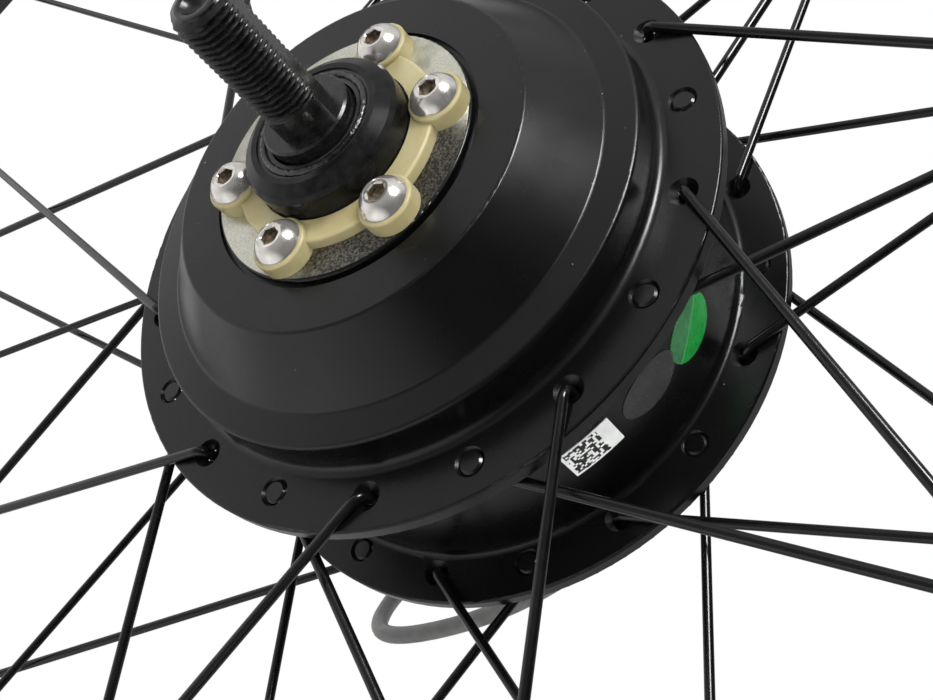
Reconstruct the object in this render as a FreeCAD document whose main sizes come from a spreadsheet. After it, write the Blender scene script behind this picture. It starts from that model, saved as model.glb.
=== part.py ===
import FreeCAD, Part
import math
import os
import re
import Sketcher
from FreeCAD import Placement, Rotation, Vector

# Rear hub motor wheel. The axle lies along Y with the disc side at -Y and the drive side at +Y.
# The origin is the wheel's centre, in the middle of the rim and of the 135 mm frame width.

doc = FreeCAD.newDocument("hub_motor_wheel")
sheet = doc.addObject("Spreadsheet::Sheet", "sizes")

DRIVING_SIZES = [
    # frame fit and axle
    ("frame_width", 135.0, "between the dropout faces"),
    ("axle_length", 194.0, "tip to tip"),
    ("axle_thread_radius", 6.0, "M12 x 1.25, drawn plain"),
    ("axle_core_radius", 8.5, "17 mm seat for stator and rotor bearing"),
    ("core_start", -26.0, "axle steps up to the core here"),
    ("core_end", 38.0, "and down again here"),
    ("axle_flat", 5.0, "axis to flat, 10 mm across flats"),
    ("flat_angle", 32.7, "direction that one flat faces, degrees"),
    ("lead_bore_radius", 3.2, "bore for the motor lead"),
    ("lead_exit", 8.0, "where the lead turns out of the axle"),
    ("nose_length", 1.6, "chamfer at both tips"),
    ("nose_drop", 1.4, ""),
    ("centre_depth", 3.4, "centre hole in the disc side tip"),
    ("centre_tip", 0.6, ""),
    # hub shell
    ("flange_radius", 66.5, ""),
    ("flange_thickness", 3.5, ""),
    ("disc_flange_face", -34.0, "outer face of the disc side flange"),
    ("drive_flange_face", 11.9, "outer face of the drive side flange"),
    ("barrel_radius", 56.0, ""),
    ("shell_bore", 50.0, ""),
    ("shell_floor", -39.6, "inner corner of the bore"),
    ("collar_radius", 54.2, ""),
    ("collar_face", -42.9, ""),
    ("dome_base_radius", 48.0, ""),
    ("dome_base", -43.75, ""),
    ("dome_top_radius", 37.6, ""),
    ("dome_top", -55.0, ""),
    ("dome_floor", -50.0, "inside of the dome"),
    ("disc_seat_radius", 27.65, "machined brake disc seat"),
    ("disc_seat_face", -55.94, ""),
    ("groove_width", 0.95, "around the seat"),
    ("groove_depth", 0.9, ""),
    ("soft_edge", 0.5, "roundings of the shell"),
    ("crisp_edge", 0.8, ""),
    ("barrel_fillet", 1.5, ""),
    ("root_fillet", 2.0, ""),
    # spokes
    ("spoke_circle", 60.0, "radius of the spoke holes in the flange"),
    ("spoke_hole_radius", 1.4, ""),
    ("spoke_head_radius", 2.3, ""),
    ("spoke_crown_radius", 1.85, "flat top of the head"),
    ("spoke_crown", 0.35, "bevel between the flat top and the widest part"),
    ("spoke_head_height", 1.2, "cone under the head"),
    ("countersink_radius", 2.9, "mouth of every spoke hole, on both faces"),
    ("spoke_stand", 1.6, "an outer spoke's height over the flange at its elbow"),
    ("relief_play", 0.06, "room round a spoke where it crosses the flange edge"),
    ("spoke_radius", 1.0, "14 gauge"),
    ("elbow_radius", 2.2, ""),
    ("spokes_per_group", 9, "four groups of nine"),
    ("lacing_angle", 40.0, "hub hole to rim hole, two cross"),
    ("wide_lacing_angle", 42.0, "the same for the inner spokes of the disc side"),
    ("first_disc_hole", 242.6, "direction of the first disc side hole"),
    ("nipple_radius", 2.0, ""),
    ("nipple_length", 14.0, ""),
    ("nipple_head_radius", 2.9, ""),
    ("rim_hole_offset", 2.5, "rim holes lean to their own side"),
    # rim, 622 mm bead seat, 21.4 mm wide inside
    ("bead_seat", 311.0, ""),
    ("rim_edge", 317.0, ""),
    ("rim_bed", 307.0, ""),
    ("rim_inner", 298.0, ""),
    ("rim_half_width", 12.3, ""),
    ("rim_wall", 1.6, ""),
    ("valve_hole_radius", 4.25, ""),
    ("valve_angle", 267.6, ""),
    ("rim_hole_depth", 6.0, "drill reach for a nipple hole"),
    ("rim_access_depth", 12.0, "and for the wider hole above it"),
    # brake disc mount
    ("disc_bolt_circle", 22.0, "44 mm circle"),
    ("disc_bolt_angle", 21.8, ""),
    ("disc_bolt_radius", 2.5, "M5"),
    ("disc_head_radius", 4.85, ""),
    ("disc_head_height", 2.75, ""),
    ("disc_hex", 3.0, "across flats"),
    ("disc_hex_depth", 1.6, ""),
    ("disc_bolt_length", 9.0, ""),
    ("disc_bolt_depth", 10.0, "hole, from 1 mm above the seat"),
    ("cover_ring_bore", 16.6, ""),
    ("cover_ring_radius", 21.3, ""),
    ("cover_ring_lobe", 5.5, ""),
    ("cover_lobe_height", 3.45, "the lobes under the screws stand higher than the ring"),
    ("cover_ring_edge", 0.6, "rounding"),
    ("cover_ring_height", 2.4, ""),
    # bearing cap on the disc side
    ("cap_radius", 16.3, ""),
    ("cap_start", -50.0, "inner end, pressed into the shell"),
    ("cap_shoulder", -62.6, ""),
    ("cap_top", -65.0, ""),
    ("cap_top_radius", 13.4, ""),
    ("cap_lip_bore", 12.2, ""),
    # 6001 bearings, 12 x 28 x 8
    ("bearing_bore", 6.0, ""),
    ("bearing_radius", 14.0, ""),
    ("bearing_width", 8.0, ""),
    ("inner_race_radius", 8.2, ""),
    ("outer_race_bore", 11.8, ""),
    ("ball_radius", 2.2, ""),
    ("ball_gap", 0.05, ""),
    ("ball_count", 9, ""),
    ("disc_bearing_start", -64.0, ""),
    ("drive_bearing_start", 38.0, ""),
    # spacers and seals
    ("spacer_radius", 8.95, ""),
    ("spacer_foot_radius", 7.8, ""),
    ("seal_bore", 9.35, ""),
    # drive side cover
    ("cover_radius", 57.5, ""),
    ("cover_spigot", 3.0, ""),
    ("cover_edge", 3.0, "thickness at the rim"),
    ("freewheel_thread_radius", 17.4, "1.375 inch freewheel thread"),
    ("cover_end", 47.5, ""),
    ("boss_foot_radius", 26.0, "foot of the freewheel boss"),
    ("boss_foot", 22.0, ""),
    ("cover_screw_circle", 53.0, ""),
    ("cover_screw_count", 9, ""),
    ("cover_screw_radius", 1.5, "M3"),
    ("cover_head_radius", 2.75, ""),
    ("cover_head_height", 2.0, ""),
    ("cover_screw_length", 8.0, ""),
    ("cover_screw_depth", 9.0, ""),
    # planetary gear, module 1
    ("gear_module", 1.0, ""),
    ("sun_teeth", 18, ""),
    ("planet_teeth", 36, ""),
    ("ring_teeth", 90, ""),
    ("gear_start", -39.5, ""),
    ("gear_width", 11.0, ""),
    ("gear_play", 0.12, "tooth thinning for backlash"),
    ("planet_count", 3, ""),
    ("planet_pin_radius", 3.0, ""),
    ("planet_bore", 3.05, ""),
    ("carrier_face", -41.0, ""),
    ("carrier_radius", 35.0, ""),
    ("carrier_plate", 3.0, ""),
    ("carrier_bore", 12.25, ""),
    ("race_radius", 10.0, "one way clutch race"),
    ("roller_count", 10, ""),
    ("roller_length", 6.0, ""),
    ("carrier_hub_radius", 16.0, ""),
    ("carrier_hub", 8.0, ""),
    ("carrier_window", 6.0, ""),
    ("carrier_window_circle", 23.0, ""),
    ("sun_collar_radius", 14.0, ""),
    ("bush_radius", 6.7, "plain bush between the sun gear and the axle"),
    # motor
    ("magnet_count", 20, ""),
    ("can_radius", 48.0, ""),
    ("can_wall", 3.0, ""),
    ("can_start", -26.5, ""),
    ("can_end", 2.0, ""),
    ("can_plate", 2.5, ""),
    ("magnet_thickness", 2.4, ""),
    ("stator_radius", 42.2, ""),
    ("stator_bore", 20.0, ""),
    ("stator_start", -17.0, ""),
    ("stator_end", -3.0, ""),
    ("tooth_count", 18, ""),
    ("tooth_width", 4.2, ""),
    ("tooth_tip", 1.8, ""),
    ("yoke_radius", 25.5, ""),
    ("slot_opening", 2.2, ""),
    ("coil_thickness", 2.0, ""),
    ("coil_overhang", 4.0, ""),
    ("coil_clearance", 0.6, ""),
    ("coil_corner", 1.6, ""),
    ("hub_window_radius", 3.2, ""),
    ("magnet_start", -19.0, ""),
    ("magnet_length", 18.0, ""),
    ("board_bore", 24.5, "position sensor board"),
    ("board_radius", 38.0, ""),
    ("board_thickness", 1.6, ""),
    ("rotor_bearing_radius", 13.0, ""),
    ("rotor_bearing_width", 5.0, ""),
    ("rotor_ball_radius", 0.8, ""),
    ("rotor_ball_count", 14, ""),
    ("plate_bore", 9.0, ""),
    ("key_width", 4.0, ""),
    ("key_height", 4.0, ""),
    ("key_play", 0.15, ""),
    # motor lead
    ("lead_radius", 2.5, ""),
    ("boot_radius", 6.8, ""),
    ("boot_end_radius", 3.4, ""),
    ("boot_length", 7.5, "axle tip to the boot's elbow"),
    ("connector_radius", 6.0, ""),
    ("connector_length", 42.0, ""),
    ("pin_circle", 2.9, ""),
    ("pin_radius", 0.45, ""),
    ("clip_wall", 1.7, ""),
    ("clip_width", 6.0, ""),
    ("clip_play", 0.02, "between the clip and what it holds"),
    # labels on the barrel
    ("sticker_thickness", 0.15, ""),
]

for row, (alias, value, note) in enumerate(DRIVING_SIZES, start=1):
    sheet.set(f"A{row}", alias)
    sheet.set(f"B{row}", str(value))
    sheet.set(f"C{row}", note)
    sheet.setAlias(f"B{row}", alias)
doc.recompute()


def size(name):
    """The value of one sheet cell."""
    return float(sheet.get(name))


def bound(text):
    """An expression of sheet names, written for setExpression."""
    return re.sub(r"[a-z][a-z_]+", lambda word: "sizes." + word.group(), text)


def value_of(text):
    """The number that an expression of sheet names gives now."""
    return float(sheet.evalExpression(text))


def origin_feature(body, role):
    """One of a body's own origin planes or axes."""
    return next(item for item in body.Origin.OriginFeatures if item.Role == role)


def add_outline(sketch, points):
    """A closed loop of lines through (radius, along the axle) points, each bound to the sheet."""
    first = sketch.GeometryCount
    places = [Vector(value_of(across), value_of(along), 0) for across, along in points]
    count = len(points)
    for index in range(count):
        sketch.addGeometry(Part.LineSegment(places[index], places[(index + 1) % count]), False)
    for index in range(count):
        following = first + (index + 1) % count
        sketch.addConstraint(Sketcher.Constraint("Coincident", first + index, 2, following, 1))
    for index, (across, along) in enumerate(points):
        distances = (("DistanceX", across, places[index].x), ("DistanceY", along, places[index].y))
        for kind, text, distance in distances:
            number = sketch.addConstraint(Sketcher.Constraint(kind, -1, 1, first + index, 1, distance))
            sketch.setExpression(f"Constraints[{number}]", bound(text))


def turned_body(label, *outlines):
    """A body of revolution about the axle from one outer loop and any hollow loops."""
    body = doc.addObject("PartDesign::Body", label)
    body.Label = label
    sketch = body.newObject("Sketcher::SketchObject", label + "_outline")
    sketch.AttachmentSupport = [(origin_feature(body, "XY_Plane"), "")]
    sketch.MapMode = "FlatFace"
    for outline in outlines:
        add_outline(sketch, outline)
    turn = body.newObject("PartDesign::Revolution", label + "_turned")
    turn.Profile = sketch
    turn.ReferenceAxis = (origin_feature(body, "Y_Axis"), [""])
    turn.Angle = 360
    sketch.Visibility = False
    doc.recompute()
    return body


def ring_outline(inner, outer, start, end):
    """A rectangular section between two radii and two places along the axle."""
    return [(inner, start), (outer, start), (outer, end), (inner, end)]


def round_edges(body, radius_name, wanted):
    """Fillet the circular edges at the given (radius, along the axle) places."""
    tip = body.Tip
    names = []
    for number, edge in enumerate(tip.Shape.Edges, start=1):
        if edge.Curve.TypeId != "Part::GeomCircle":
            continue
        for across, along in wanted:
            same_radius = abs(edge.Curve.Radius - value_of(across)) < 0.01
            if same_radius and abs(edge.Curve.Center.y - value_of(along)) < 0.01:
                names.append(f"Edge{number}")
    fillet = body.newObject("PartDesign::Fillet", f"{body.Name}_{radius_name}")
    fillet.Base = (tip, names)
    fillet.setExpression("Radius", bound(radius_name))
    doc.recompute()


def direction(angle):
    """A unit vector in the wheel's plane, the angle going from +X towards +Z, in degrees."""
    return Vector(math.cos(math.radians(angle)), 0, math.sin(math.radians(angle)))


def drilled_circle(body, name, radius_text, depth_text, place, count, end_radius_text=None):
    """Cut a cylinder or a cone at one (start, way) place and repeat it evenly around the axle."""
    start, way = place
    cutter = cut_hole(body, name, radius_text, depth_text, start, way, end_radius_text)
    pattern = body.newObject("PartDesign::PolarPattern", name + "_pattern")
    pattern.Originals = [cutter]
    pattern.Axis = (origin_feature(body, "Y_Axis"), [""])
    pattern.Angle = 360
    body.Tip = pattern
    pattern.Occurrences = int(count)
    doc.recompute()


def cut_hole(body, name, radius_text, depth_text, start, way, end_radius_text=None):
    """Cut one cylinder, or a cone when an end radius is given, out of a body."""
    kind = "PartDesign::SubtractiveCone" if end_radius_text else "PartDesign::SubtractiveCylinder"
    cutter = body.newObject(kind, name)
    cutter.setExpression("Radius1" if end_radius_text else "Radius", bound(radius_text))
    if end_radius_text:
        cutter.setExpression("Radius2", bound(end_radius_text))
    cutter.setExpression("Height", bound(depth_text))
    cutter.Placement = Placement(start, Rotation(Vector(0, 0, 1), way))
    doc.recompute()
    body.Tip = cutter
    return cutter


def cut_box(body, name, side_texts, placement):
    """Cut one box out of a body."""
    cutter = body.newObject("PartDesign::SubtractiveBox", name)
    for side, text in zip(("Length", "Width", "Height"), side_texts):
        cutter.setExpression(side, bound(text))
    cutter.Placement = placement
    doc.recompute()
    body.Tip = cutter


def shape_part(label, shape):
    """A part whose shape is made by Part's own functions from sheet sizes."""
    feature = doc.addObject("Part::Feature", label)
    feature.Label = label
    feature.Shape = shape


def around_axle(shape, count, first=0.0):
    """Copies of a shape spread evenly around the axle, as separate solids."""
    copies = []
    for index in range(int(count)):
        copy = shape.copy()
        copy.rotate(Vector(0, 0, 0), Vector(0, 1, 0), -(first + index * 360.0 / count))
        copies.append(copy)
    return Part.makeCompound(copies)


def rod(radius, start, end):
    """A cylinder between two points."""
    return Part.makeCylinder(radius, (end - start).Length, start, end - start)


def tube(inner, outer, start, end):
    """A ring around the axle between two places along it."""
    blank = rod(outer, Vector(0, start, 0), Vector(0, end, 0))
    return blank.cut(rod(inner, Vector(0, start, 0), Vector(0, end, 0)))


def bearing_race(label, inner, outer, start):
    """One ring of a ball bearing, with a groove for the balls."""
    body = turned_body(label, ring_outline(inner, outer, start, f"{start} + bearing_width"))
    groove = body.newObject("PartDesign::SubtractiveTorus", label + "_groove")
    groove.setExpression("Radius1", bound("bearing_bore / 2 + bearing_radius / 2"))
    groove.setExpression("Radius2", bound("ball_radius + ball_gap"))
    middle = value_of(f"{start} + bearing_width / 2")
    groove.Placement = Placement(Vector(0, middle, 0), Rotation(Vector(1, 0, 0), 90))
    doc.recompute()
    return body


def ball_set(label, start):
    """The balls of one bearing."""
    middle = value_of(f"{start} + bearing_width / 2")
    pitch = value_of("bearing_bore / 2 + bearing_radius / 2")
    ball = Part.makeSphere(size("ball_radius"), Vector(pitch, middle, 0))
    return shape_part(label, around_axle(ball, size("ball_count")))


# ---- axle and what stands still with it ----

def make_axle():
    """The axle: ends for the M12 thread with two flats, a thicker core and a bore for the motor lead."""
    nose = "axle_thread_radius - nose_drop"
    body = turned_body("axle", [
        ("0", "-axle_length / 2"),
        (nose, "-axle_length / 2"), ("axle_thread_radius", "nose_length - axle_length / 2"),
        ("axle_thread_radius", "core_start"), ("axle_core_radius", "core_start"),
        ("axle_core_radius", "core_end"), ("axle_thread_radius", "core_end"),
        ("axle_thread_radius", "axle_length / 2 - nose_length"), (nose, "axle_length / 2"),
        ("0", "axle_length / 2"),
    ])
    half = size("axle_length") / 2
    over = 1.0
    reach = size("axle_thread_radius") + over
    slab_length = "axle_length / 2 - frame_width / 2 + 1"
    slab_sides = ("axle_thread_radius", slab_length, "2 * axle_thread_radius + 2")
    for side_name, side in (("disc", -1), ("drive", 1)):
        for facing in (0, 180):
            slab = Placement(Vector(0, 0, 0), Rotation(Vector(0, 1, 0), -size("flat_angle") - facing))
            start = -half - over if side < 0 else size("frame_width") / 2
            slab = slab.multiply(Placement(Vector(size("axle_flat"), start, -reach), Rotation()))
            cut_box(body, f"{side_name}_flat_{facing}", slab_sides, slab)
    # the exit hole is narrower than the bore, so that their walls don't run along each other
    bore_start = Vector(0, size("lead_exit") - size("axle_flat") + over, 0)
    cut_hole(body, "lead_bore", "lead_bore_radius", "axle_length / 2", bore_start, Vector(0, 1, 0))
    exit_start = Vector(0, size("lead_exit"), 0)
    exit_depth = "axle_core_radius + 2"
    cut_hole(body, "lead_exit_hole", "lead_bore_radius - 0.3", exit_depth, exit_start, Vector(0, 0, -1))
    centre = Vector(0, -half - 0.01, 0)
    cut_hole(body, "centre_hole", "lead_bore_radius", "centre_depth", centre, Vector(0, 1, 0), "centre_tip")
    keyway = Placement(key_corner(size("key_play")), Rotation())
    keyway_sides = ("key_height + key_play", "stator_end - stator_start", "key_width + 2 * key_play")
    cut_box(body, "keyway", keyway_sides, keyway)


def key_corner(margin):
    """The lowest corner of the stator key, or of its slot when a margin is added."""
    width = size("key_width") + 2 * margin
    return Vector(size("axle_core_radius") - size("key_height") / 2, size("stator_start"), -width / 2)


def key_block(margin):
    """The stator key, or its slot when a margin is added."""
    width = size("key_width") + 2 * margin
    length = size("stator_end") - size("stator_start")
    return Part.makeBox(size("key_height") + margin, length, width, key_corner(margin))


def make_still_parts():
    """Spacers, stator and clutch race, all fixed to the axle."""
    turned_body("disc_side_spacer", [
        ("bearing_bore", "-frame_width / 2"), ("spacer_radius - 0.4", "-frame_width / 2"),
        ("spacer_radius", "0.4 - frame_width / 2"), ("spacer_radius", "disc_bearing_start - 0.4"),
        ("spacer_foot_radius", "disc_bearing_start - 0.4"), ("spacer_foot_radius", "disc_bearing_start"),
        ("bearing_bore", "disc_bearing_start"),
    ])
    turned_body("drive_side_sleeve", [
        ("bearing_bore", "drive_bearing_start + bearing_width"),
        ("spacer_foot_radius", "drive_bearing_start + bearing_width"),
        ("spacer_foot_radius", "drive_bearing_start + bearing_width + 0.4"),
        ("spacer_radius", "drive_bearing_start + bearing_width + 0.4"),
        ("spacer_radius", "frame_width / 2 - 0.4"), ("spacer_radius - 0.4", "frame_width / 2"),
        ("bearing_bore", "frame_width / 2"),
    ])
    turned_body("clutch_race", ring_outline(
        "bearing_bore", "race_radius", "disc_bearing_start + bearing_width", "carrier_face + 0.8"))
    middle = value_of("carrier_face - 4.2")
    roller_radius = value_of("carrier_bore / 2 - race_radius / 2")
    half_roller = Vector(0, size("roller_length") / 2, 0)
    roller = rod(roller_radius, Vector(0, middle, 0) - half_roller, Vector(0, middle, 0) + half_roller)
    roller.translate(Vector(size("race_radius") + roller_radius, 0, 0))
    shape_part("clutch_rollers", around_axle(roller, size("roller_count")))
    hub = tube(size("axle_core_radius"), size("stator_bore"), size("stator_start"), size("stator_end"))
    window_circle = Vector((size("axle_core_radius") + size("stator_bore")) / 2, 0, 0)
    window = rod(size("hub_window_radius"), window_circle + Vector(0, size("stator_start"), 0),
                 window_circle + Vector(0, size("stator_end"), 0))
    hub = hub.cut(around_axle(window, 6, 30)).cut(key_block(size("key_play")))
    shape_part("stator_hub", hub)
    shape_part("stator_key", key_block(0))


def make_stator_core():
    """The laminated core: a yoke, its teeth and their tips."""
    start = Vector(0, size("stator_start"), 0)
    length = size("stator_end") - size("stator_start")
    yoke = tube(size("stator_bore"), size("yoke_radius"), size("stator_start"), size("stator_end"))
    reach = size("stator_radius") - size("yoke_radius")
    width = size("tooth_width")
    tooth = Part.makeBox(reach, length, width, start + Vector(size("yoke_radius") - 0.5, 0, -width / 2))
    tips = tube(size("stator_radius") - size("tooth_tip"), size("stator_radius"),
                size("stator_start"), size("stator_end"))
    gap_depth = 2 * size("tooth_tip")
    gap = Part.makeBox(2 * gap_depth, length, size("slot_opening"),
                       start + Vector(size("stator_radius") - gap_depth, 0, -size("slot_opening") / 2))
    core = yoke.fuse(around_axle(tooth, size("tooth_count")).Solids)
    core = core.fuse(tips.cut(around_axle(gap, size("tooth_count"), 180 / size("tooth_count"))))
    shape_part("stator_core", core.removeSplitter())


def make_windings():
    """One coil around each stator tooth."""
    overhang = size("coil_overhang")
    start = size("stator_start") - overhang
    length = size("stator_end") + overhang - start
    clearance = size("coil_clearance")
    inner = size("yoke_radius") + clearance
    outer = size("stator_radius") - size("tooth_tip") - clearance
    wide = size("tooth_width") + 2 * size("coil_thickness")
    coil = Part.makeBox(outer - inner, length, wide, Vector(inner, start, -wide / 2))
    corners = [edge for edge in coil.Edges if abs(edge.Length - (outer - inner)) < 0.01]
    coil = coil.makeFillet(size("coil_corner"), corners)
    hole_width = size("tooth_width") + 0.2
    hole = Part.makeBox(outer - inner + 2, length - 2 * overhang + 0.2, hole_width,
                        Vector(inner - 1, size("stator_start") - 0.1, -hole_width / 2))
    shape_part("stator_windings", around_axle(coil.cut(hole), size("tooth_count")))


def make_hall_board():
    """The position sensor board behind the windings, with the plug of the lead."""
    face = size("stator_end") + size("coil_overhang")
    board_end = face + size("board_thickness")
    shape_part("hall_board", tube(size("board_bore"), size("board_radius"), face, board_end))
    plug_width, plug_height, plug_depth = 12.0, 6.4, 8.0
    plug_place = Vector(-plug_width / 2, board_end, 4 - size("board_radius"))
    shape_part("board_plug", Part.makeBox(plug_width, plug_height, plug_depth, plug_place))


def make_carrier():
    """The planet carrier, its pins and the circlips that keep the planets on."""
    face = size("carrier_face")
    plate = tube(size("carrier_bore"), size("carrier_radius"), face - size("carrier_plate"), face)
    hub = tube(size("carrier_bore"), size("carrier_hub_radius"), face - size("carrier_hub"), face)
    reach = value_of("gear_module * (sun_teeth + planet_teeth) / 2")
    below = face - size("carrier_plate")
    pin_hole = rod(size("planet_pin_radius"), Vector(reach, below, 0), Vector(reach, face, 0))
    window = rod(size("carrier_window"), Vector(size("carrier_window_circle"), below, 0),
                 Vector(size("carrier_window_circle"), face, 0))
    carrier = plate.fuse(hub).cut(around_axle(pin_hole, size("planet_count")))
    shape_part("planet_carrier", carrier.cut(around_axle(window, size("planet_count"), 60)))
    pin_end = value_of("gear_start + gear_width") + 1.4
    pin = rod(size("planet_pin_radius"), Vector(reach, below, 0), Vector(reach, pin_end, 0))
    shape_part("planet_pins", around_axle(pin, size("planet_count")))
    clip = tube(size("planet_pin_radius"), 5.2, pin_end - 1.0, pin_end - 0.3)
    clip.translate(Vector(reach, 0, 0))
    shape_part("planet_circlips", around_axle(clip, size("planet_count")))


# ---- gears ----

def involute_point(base, radius):
    """A point on the involute of a base circle, its flank starting on +X."""
    spread = math.sqrt((radius / base) ** 2 - 1)
    turn = spread - math.atan(spread)
    return radius, turn


def gear_blank(teeth, tip, root, thinning, width, start):
    """An external gear: arcs across tips and roots, and an arc through involute points on each flank."""
    pitch_radius = size("gear_module") * teeth / 2
    base = pitch_radius * math.cos(math.radians(20))
    half_tooth = math.pi / (2 * teeth) - thinning / (2 * pitch_radius)
    zero = involute_point(base, pitch_radius)[1]
    lowest = max(base, root)
    flank = [involute_point(base, radius) for radius in (lowest, (lowest + tip) / 2, tip)]
    step = 2 * math.pi / teeth

    def place(radius, angle):
        return Vector(radius * math.cos(angle), 0, radius * math.sin(angle))

    edges = []
    for index in range(teeth):
        middle = index * step
        rise = [place(radius, middle - half_tooth - zero + turn) for radius, turn in flank]
        fall = [place(radius, middle + half_tooth + zero - turn) for radius, turn in reversed(flank)]
        foot = middle - half_tooth - zero + flank[0][1]
        if root < lowest:
            edges.append(Part.LineSegment(place(root, foot), rise[0]).toShape())
        edges.append(Part.Arc(*rise).toShape())
        edges.append(Part.Arc(rise[2], place(tip, middle), fall[0]).toShape())
        edges.append(Part.Arc(*fall).toShape())
        far_foot = middle + half_tooth + zero - flank[0][1]
        if root < lowest:
            edges.append(Part.LineSegment(fall[2], place(root, far_foot)).toShape())
        next_foot = foot + step
        edges.append(Part.Arc(place(root, far_foot), place(root, (far_foot + next_foot) / 2),
                              place(root, next_foot)).toShape())
    outline = Part.Wire(edges)
    outline.translate(Vector(0, start, 0))
    return Part.Face(outline).extrude(Vector(0, width, 0))


def turned(shape, angle):
    """The shape turned in the wheel's plane, from +X towards +Z, in degrees."""
    shape.rotate(Vector(0, 0, 0), Vector(0, 1, 0), -angle)
    return shape


def make_gears():
    """Sun, three planets and the ring, all in mesh at rest."""
    module = size("gear_module")
    start = size("gear_start")
    width = size("gear_width")
    play = size("gear_play")
    sun_teeth = int(size("sun_teeth"))
    planet_teeth = int(size("planet_teeth"))
    ring_teeth = int(size("ring_teeth"))
    sun_pitch = module * sun_teeth / 2
    planet_pitch = module * planet_teeth / 2
    ring_pitch = module * ring_teeth / 2
    reach = sun_pitch + planet_pitch

    sun = gear_blank(sun_teeth, sun_pitch + module * 0.95, sun_pitch - 1.2 * module, play, width, start)
    collar_start = start + width
    collar_end = Vector(0, size("can_start"), 0)
    sun = sun.fuse(rod(size("sun_collar_radius"), Vector(0, collar_start, 0), collar_end))
    sun = sun.cut(rod(size("bush_radius"), Vector(0, start, 0), collar_end))
    shape_part("sun_gear", sun)
    running_fit = 0.04
    bush_bore = size("axle_thread_radius") + running_fit
    shape_part("sun_bush", tube(bush_bore, size("bush_radius"), start + 0.5, collar_start - 0.5))

    boss_radius, recess_depth = 7.0, 1.5
    for index in range(int(size("planet_count"))):
        angle = index * 360.0 / size("planet_count")
        planet = gear_blank(planet_teeth, planet_pitch + module * 0.95, planet_pitch - 1.2 * module,
                            play, width, start)
        planet = planet.cut(rod(size("planet_bore"), Vector(0, start, 0), Vector(0, start + width, 0)))
        recess = tube(boss_radius, planet_pitch - 3.5, start, start + recess_depth)
        far_recess = tube(boss_radius, planet_pitch - 3.5, start + width - recess_depth, start + width)
        planet = planet.cut(recess).cut(far_recess)
        sun_step = 360.0 / sun_teeth
        nearest = round(angle / sun_step) * sun_step - angle
        gap_angle = angle + 180 - nearest * sun_pitch / planet_pitch
        planet = turned(planet, gap_angle + 180.0 / planet_teeth)
        planet.translate(direction(angle) * reach)
        shape_part(f"planet_gear_{index + 1}", planet)

    cutter = gear_blank(ring_teeth, ring_pitch + 1.2 * module, ring_pitch - 0.95 * module,
                        -play, width + 2, start - 1)
    planet_step = 360.0 / planet_teeth
    tooth_angle = 180 + 180.0 / planet_teeth
    offset = (round(-tooth_angle / planet_step) * planet_step + tooth_angle) * planet_pitch / ring_pitch
    cutter = turned(cutter, offset)
    ring = rod(size("shell_bore"), Vector(0, size("shell_floor"), 0), Vector(0, start + width + 0.5, 0))
    shape_part("ring_gear", ring.cut(cutter))


# ---- rotor ----

def make_rotor():
    """The rotor can, its end plate, magnets and bearing."""
    start = size("can_start")
    plate_end = start + size("can_plate")
    turned_body("rotor_can", [
        ("can_radius - can_wall", "can_start + can_plate"), ("can_radius", "can_start + can_plate"),
        ("can_radius", "can_end"), ("can_radius - can_wall", "can_end"),
    ])
    plate = tube(size("plate_bore"), size("can_radius"), start, plate_end)
    bearing_end = plate_end + size("rotor_bearing_width")
    bearing_outer = size("rotor_bearing_radius")
    boss = tube(bearing_outer, bearing_outer + 3, plate_end, bearing_end)
    vent = rod(5, Vector(31, start, 0), Vector(31, plate_end, 0))
    shape_part("rotor_plate", plate.fuse(boss).cut(around_axle(vent, 6)))
    magnet_outer = size("can_radius") - size("can_wall")
    magnet_inner = magnet_outer - size("magnet_thickness")
    magnet_angle = 360.0 / size("magnet_count") - 1.4
    magnet_start = Vector(0, size("magnet_start"), 0)
    magnet_end = magnet_start + Vector(0, size("magnet_length"), 0)
    blank = Part.makeCylinder(magnet_outer, size("magnet_length"), magnet_start,
                              Vector(0, 1, 0), magnet_angle)
    magnet = blank.cut(rod(magnet_inner, magnet_start, magnet_end))
    shape_part("rotor_magnets", around_axle(magnet, size("magnet_count")))
    bearing_inner = size("axle_core_radius")
    race = 1.4
    shape_part("rotor_bearing_inner", tube(bearing_inner, bearing_inner + race, plate_end, bearing_end))
    shape_part("rotor_bearing_outer", tube(bearing_outer - race, bearing_outer, plate_end, bearing_end))
    ball_place = Vector((bearing_inner + bearing_outer) / 2, (plate_end + bearing_end) / 2, 0)
    ball = Part.makeSphere(size("rotor_ball_radius"), ball_place)
    shape_part("rotor_bearing_balls", around_axle(ball, size("rotor_ball_count")))


# ---- hub shell, cover and what turns with them ----

def spoke_hole_place(side, index):
    """The middle of a spoke hole in one flange. Side is -1 for the disc side and 1 for the drive side."""
    step = 180.0 / size("spokes_per_group")
    first = size("first_disc_hole") + (step / 2 if side > 0 else 0)
    face = size("drive_flange_face") if side > 0 else size("disc_flange_face")
    middle = face - side * size("flange_thickness") / 2
    angle = first + index * step
    return angle, direction(angle) * size("spoke_circle") + Vector(0, middle, 0)


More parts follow.
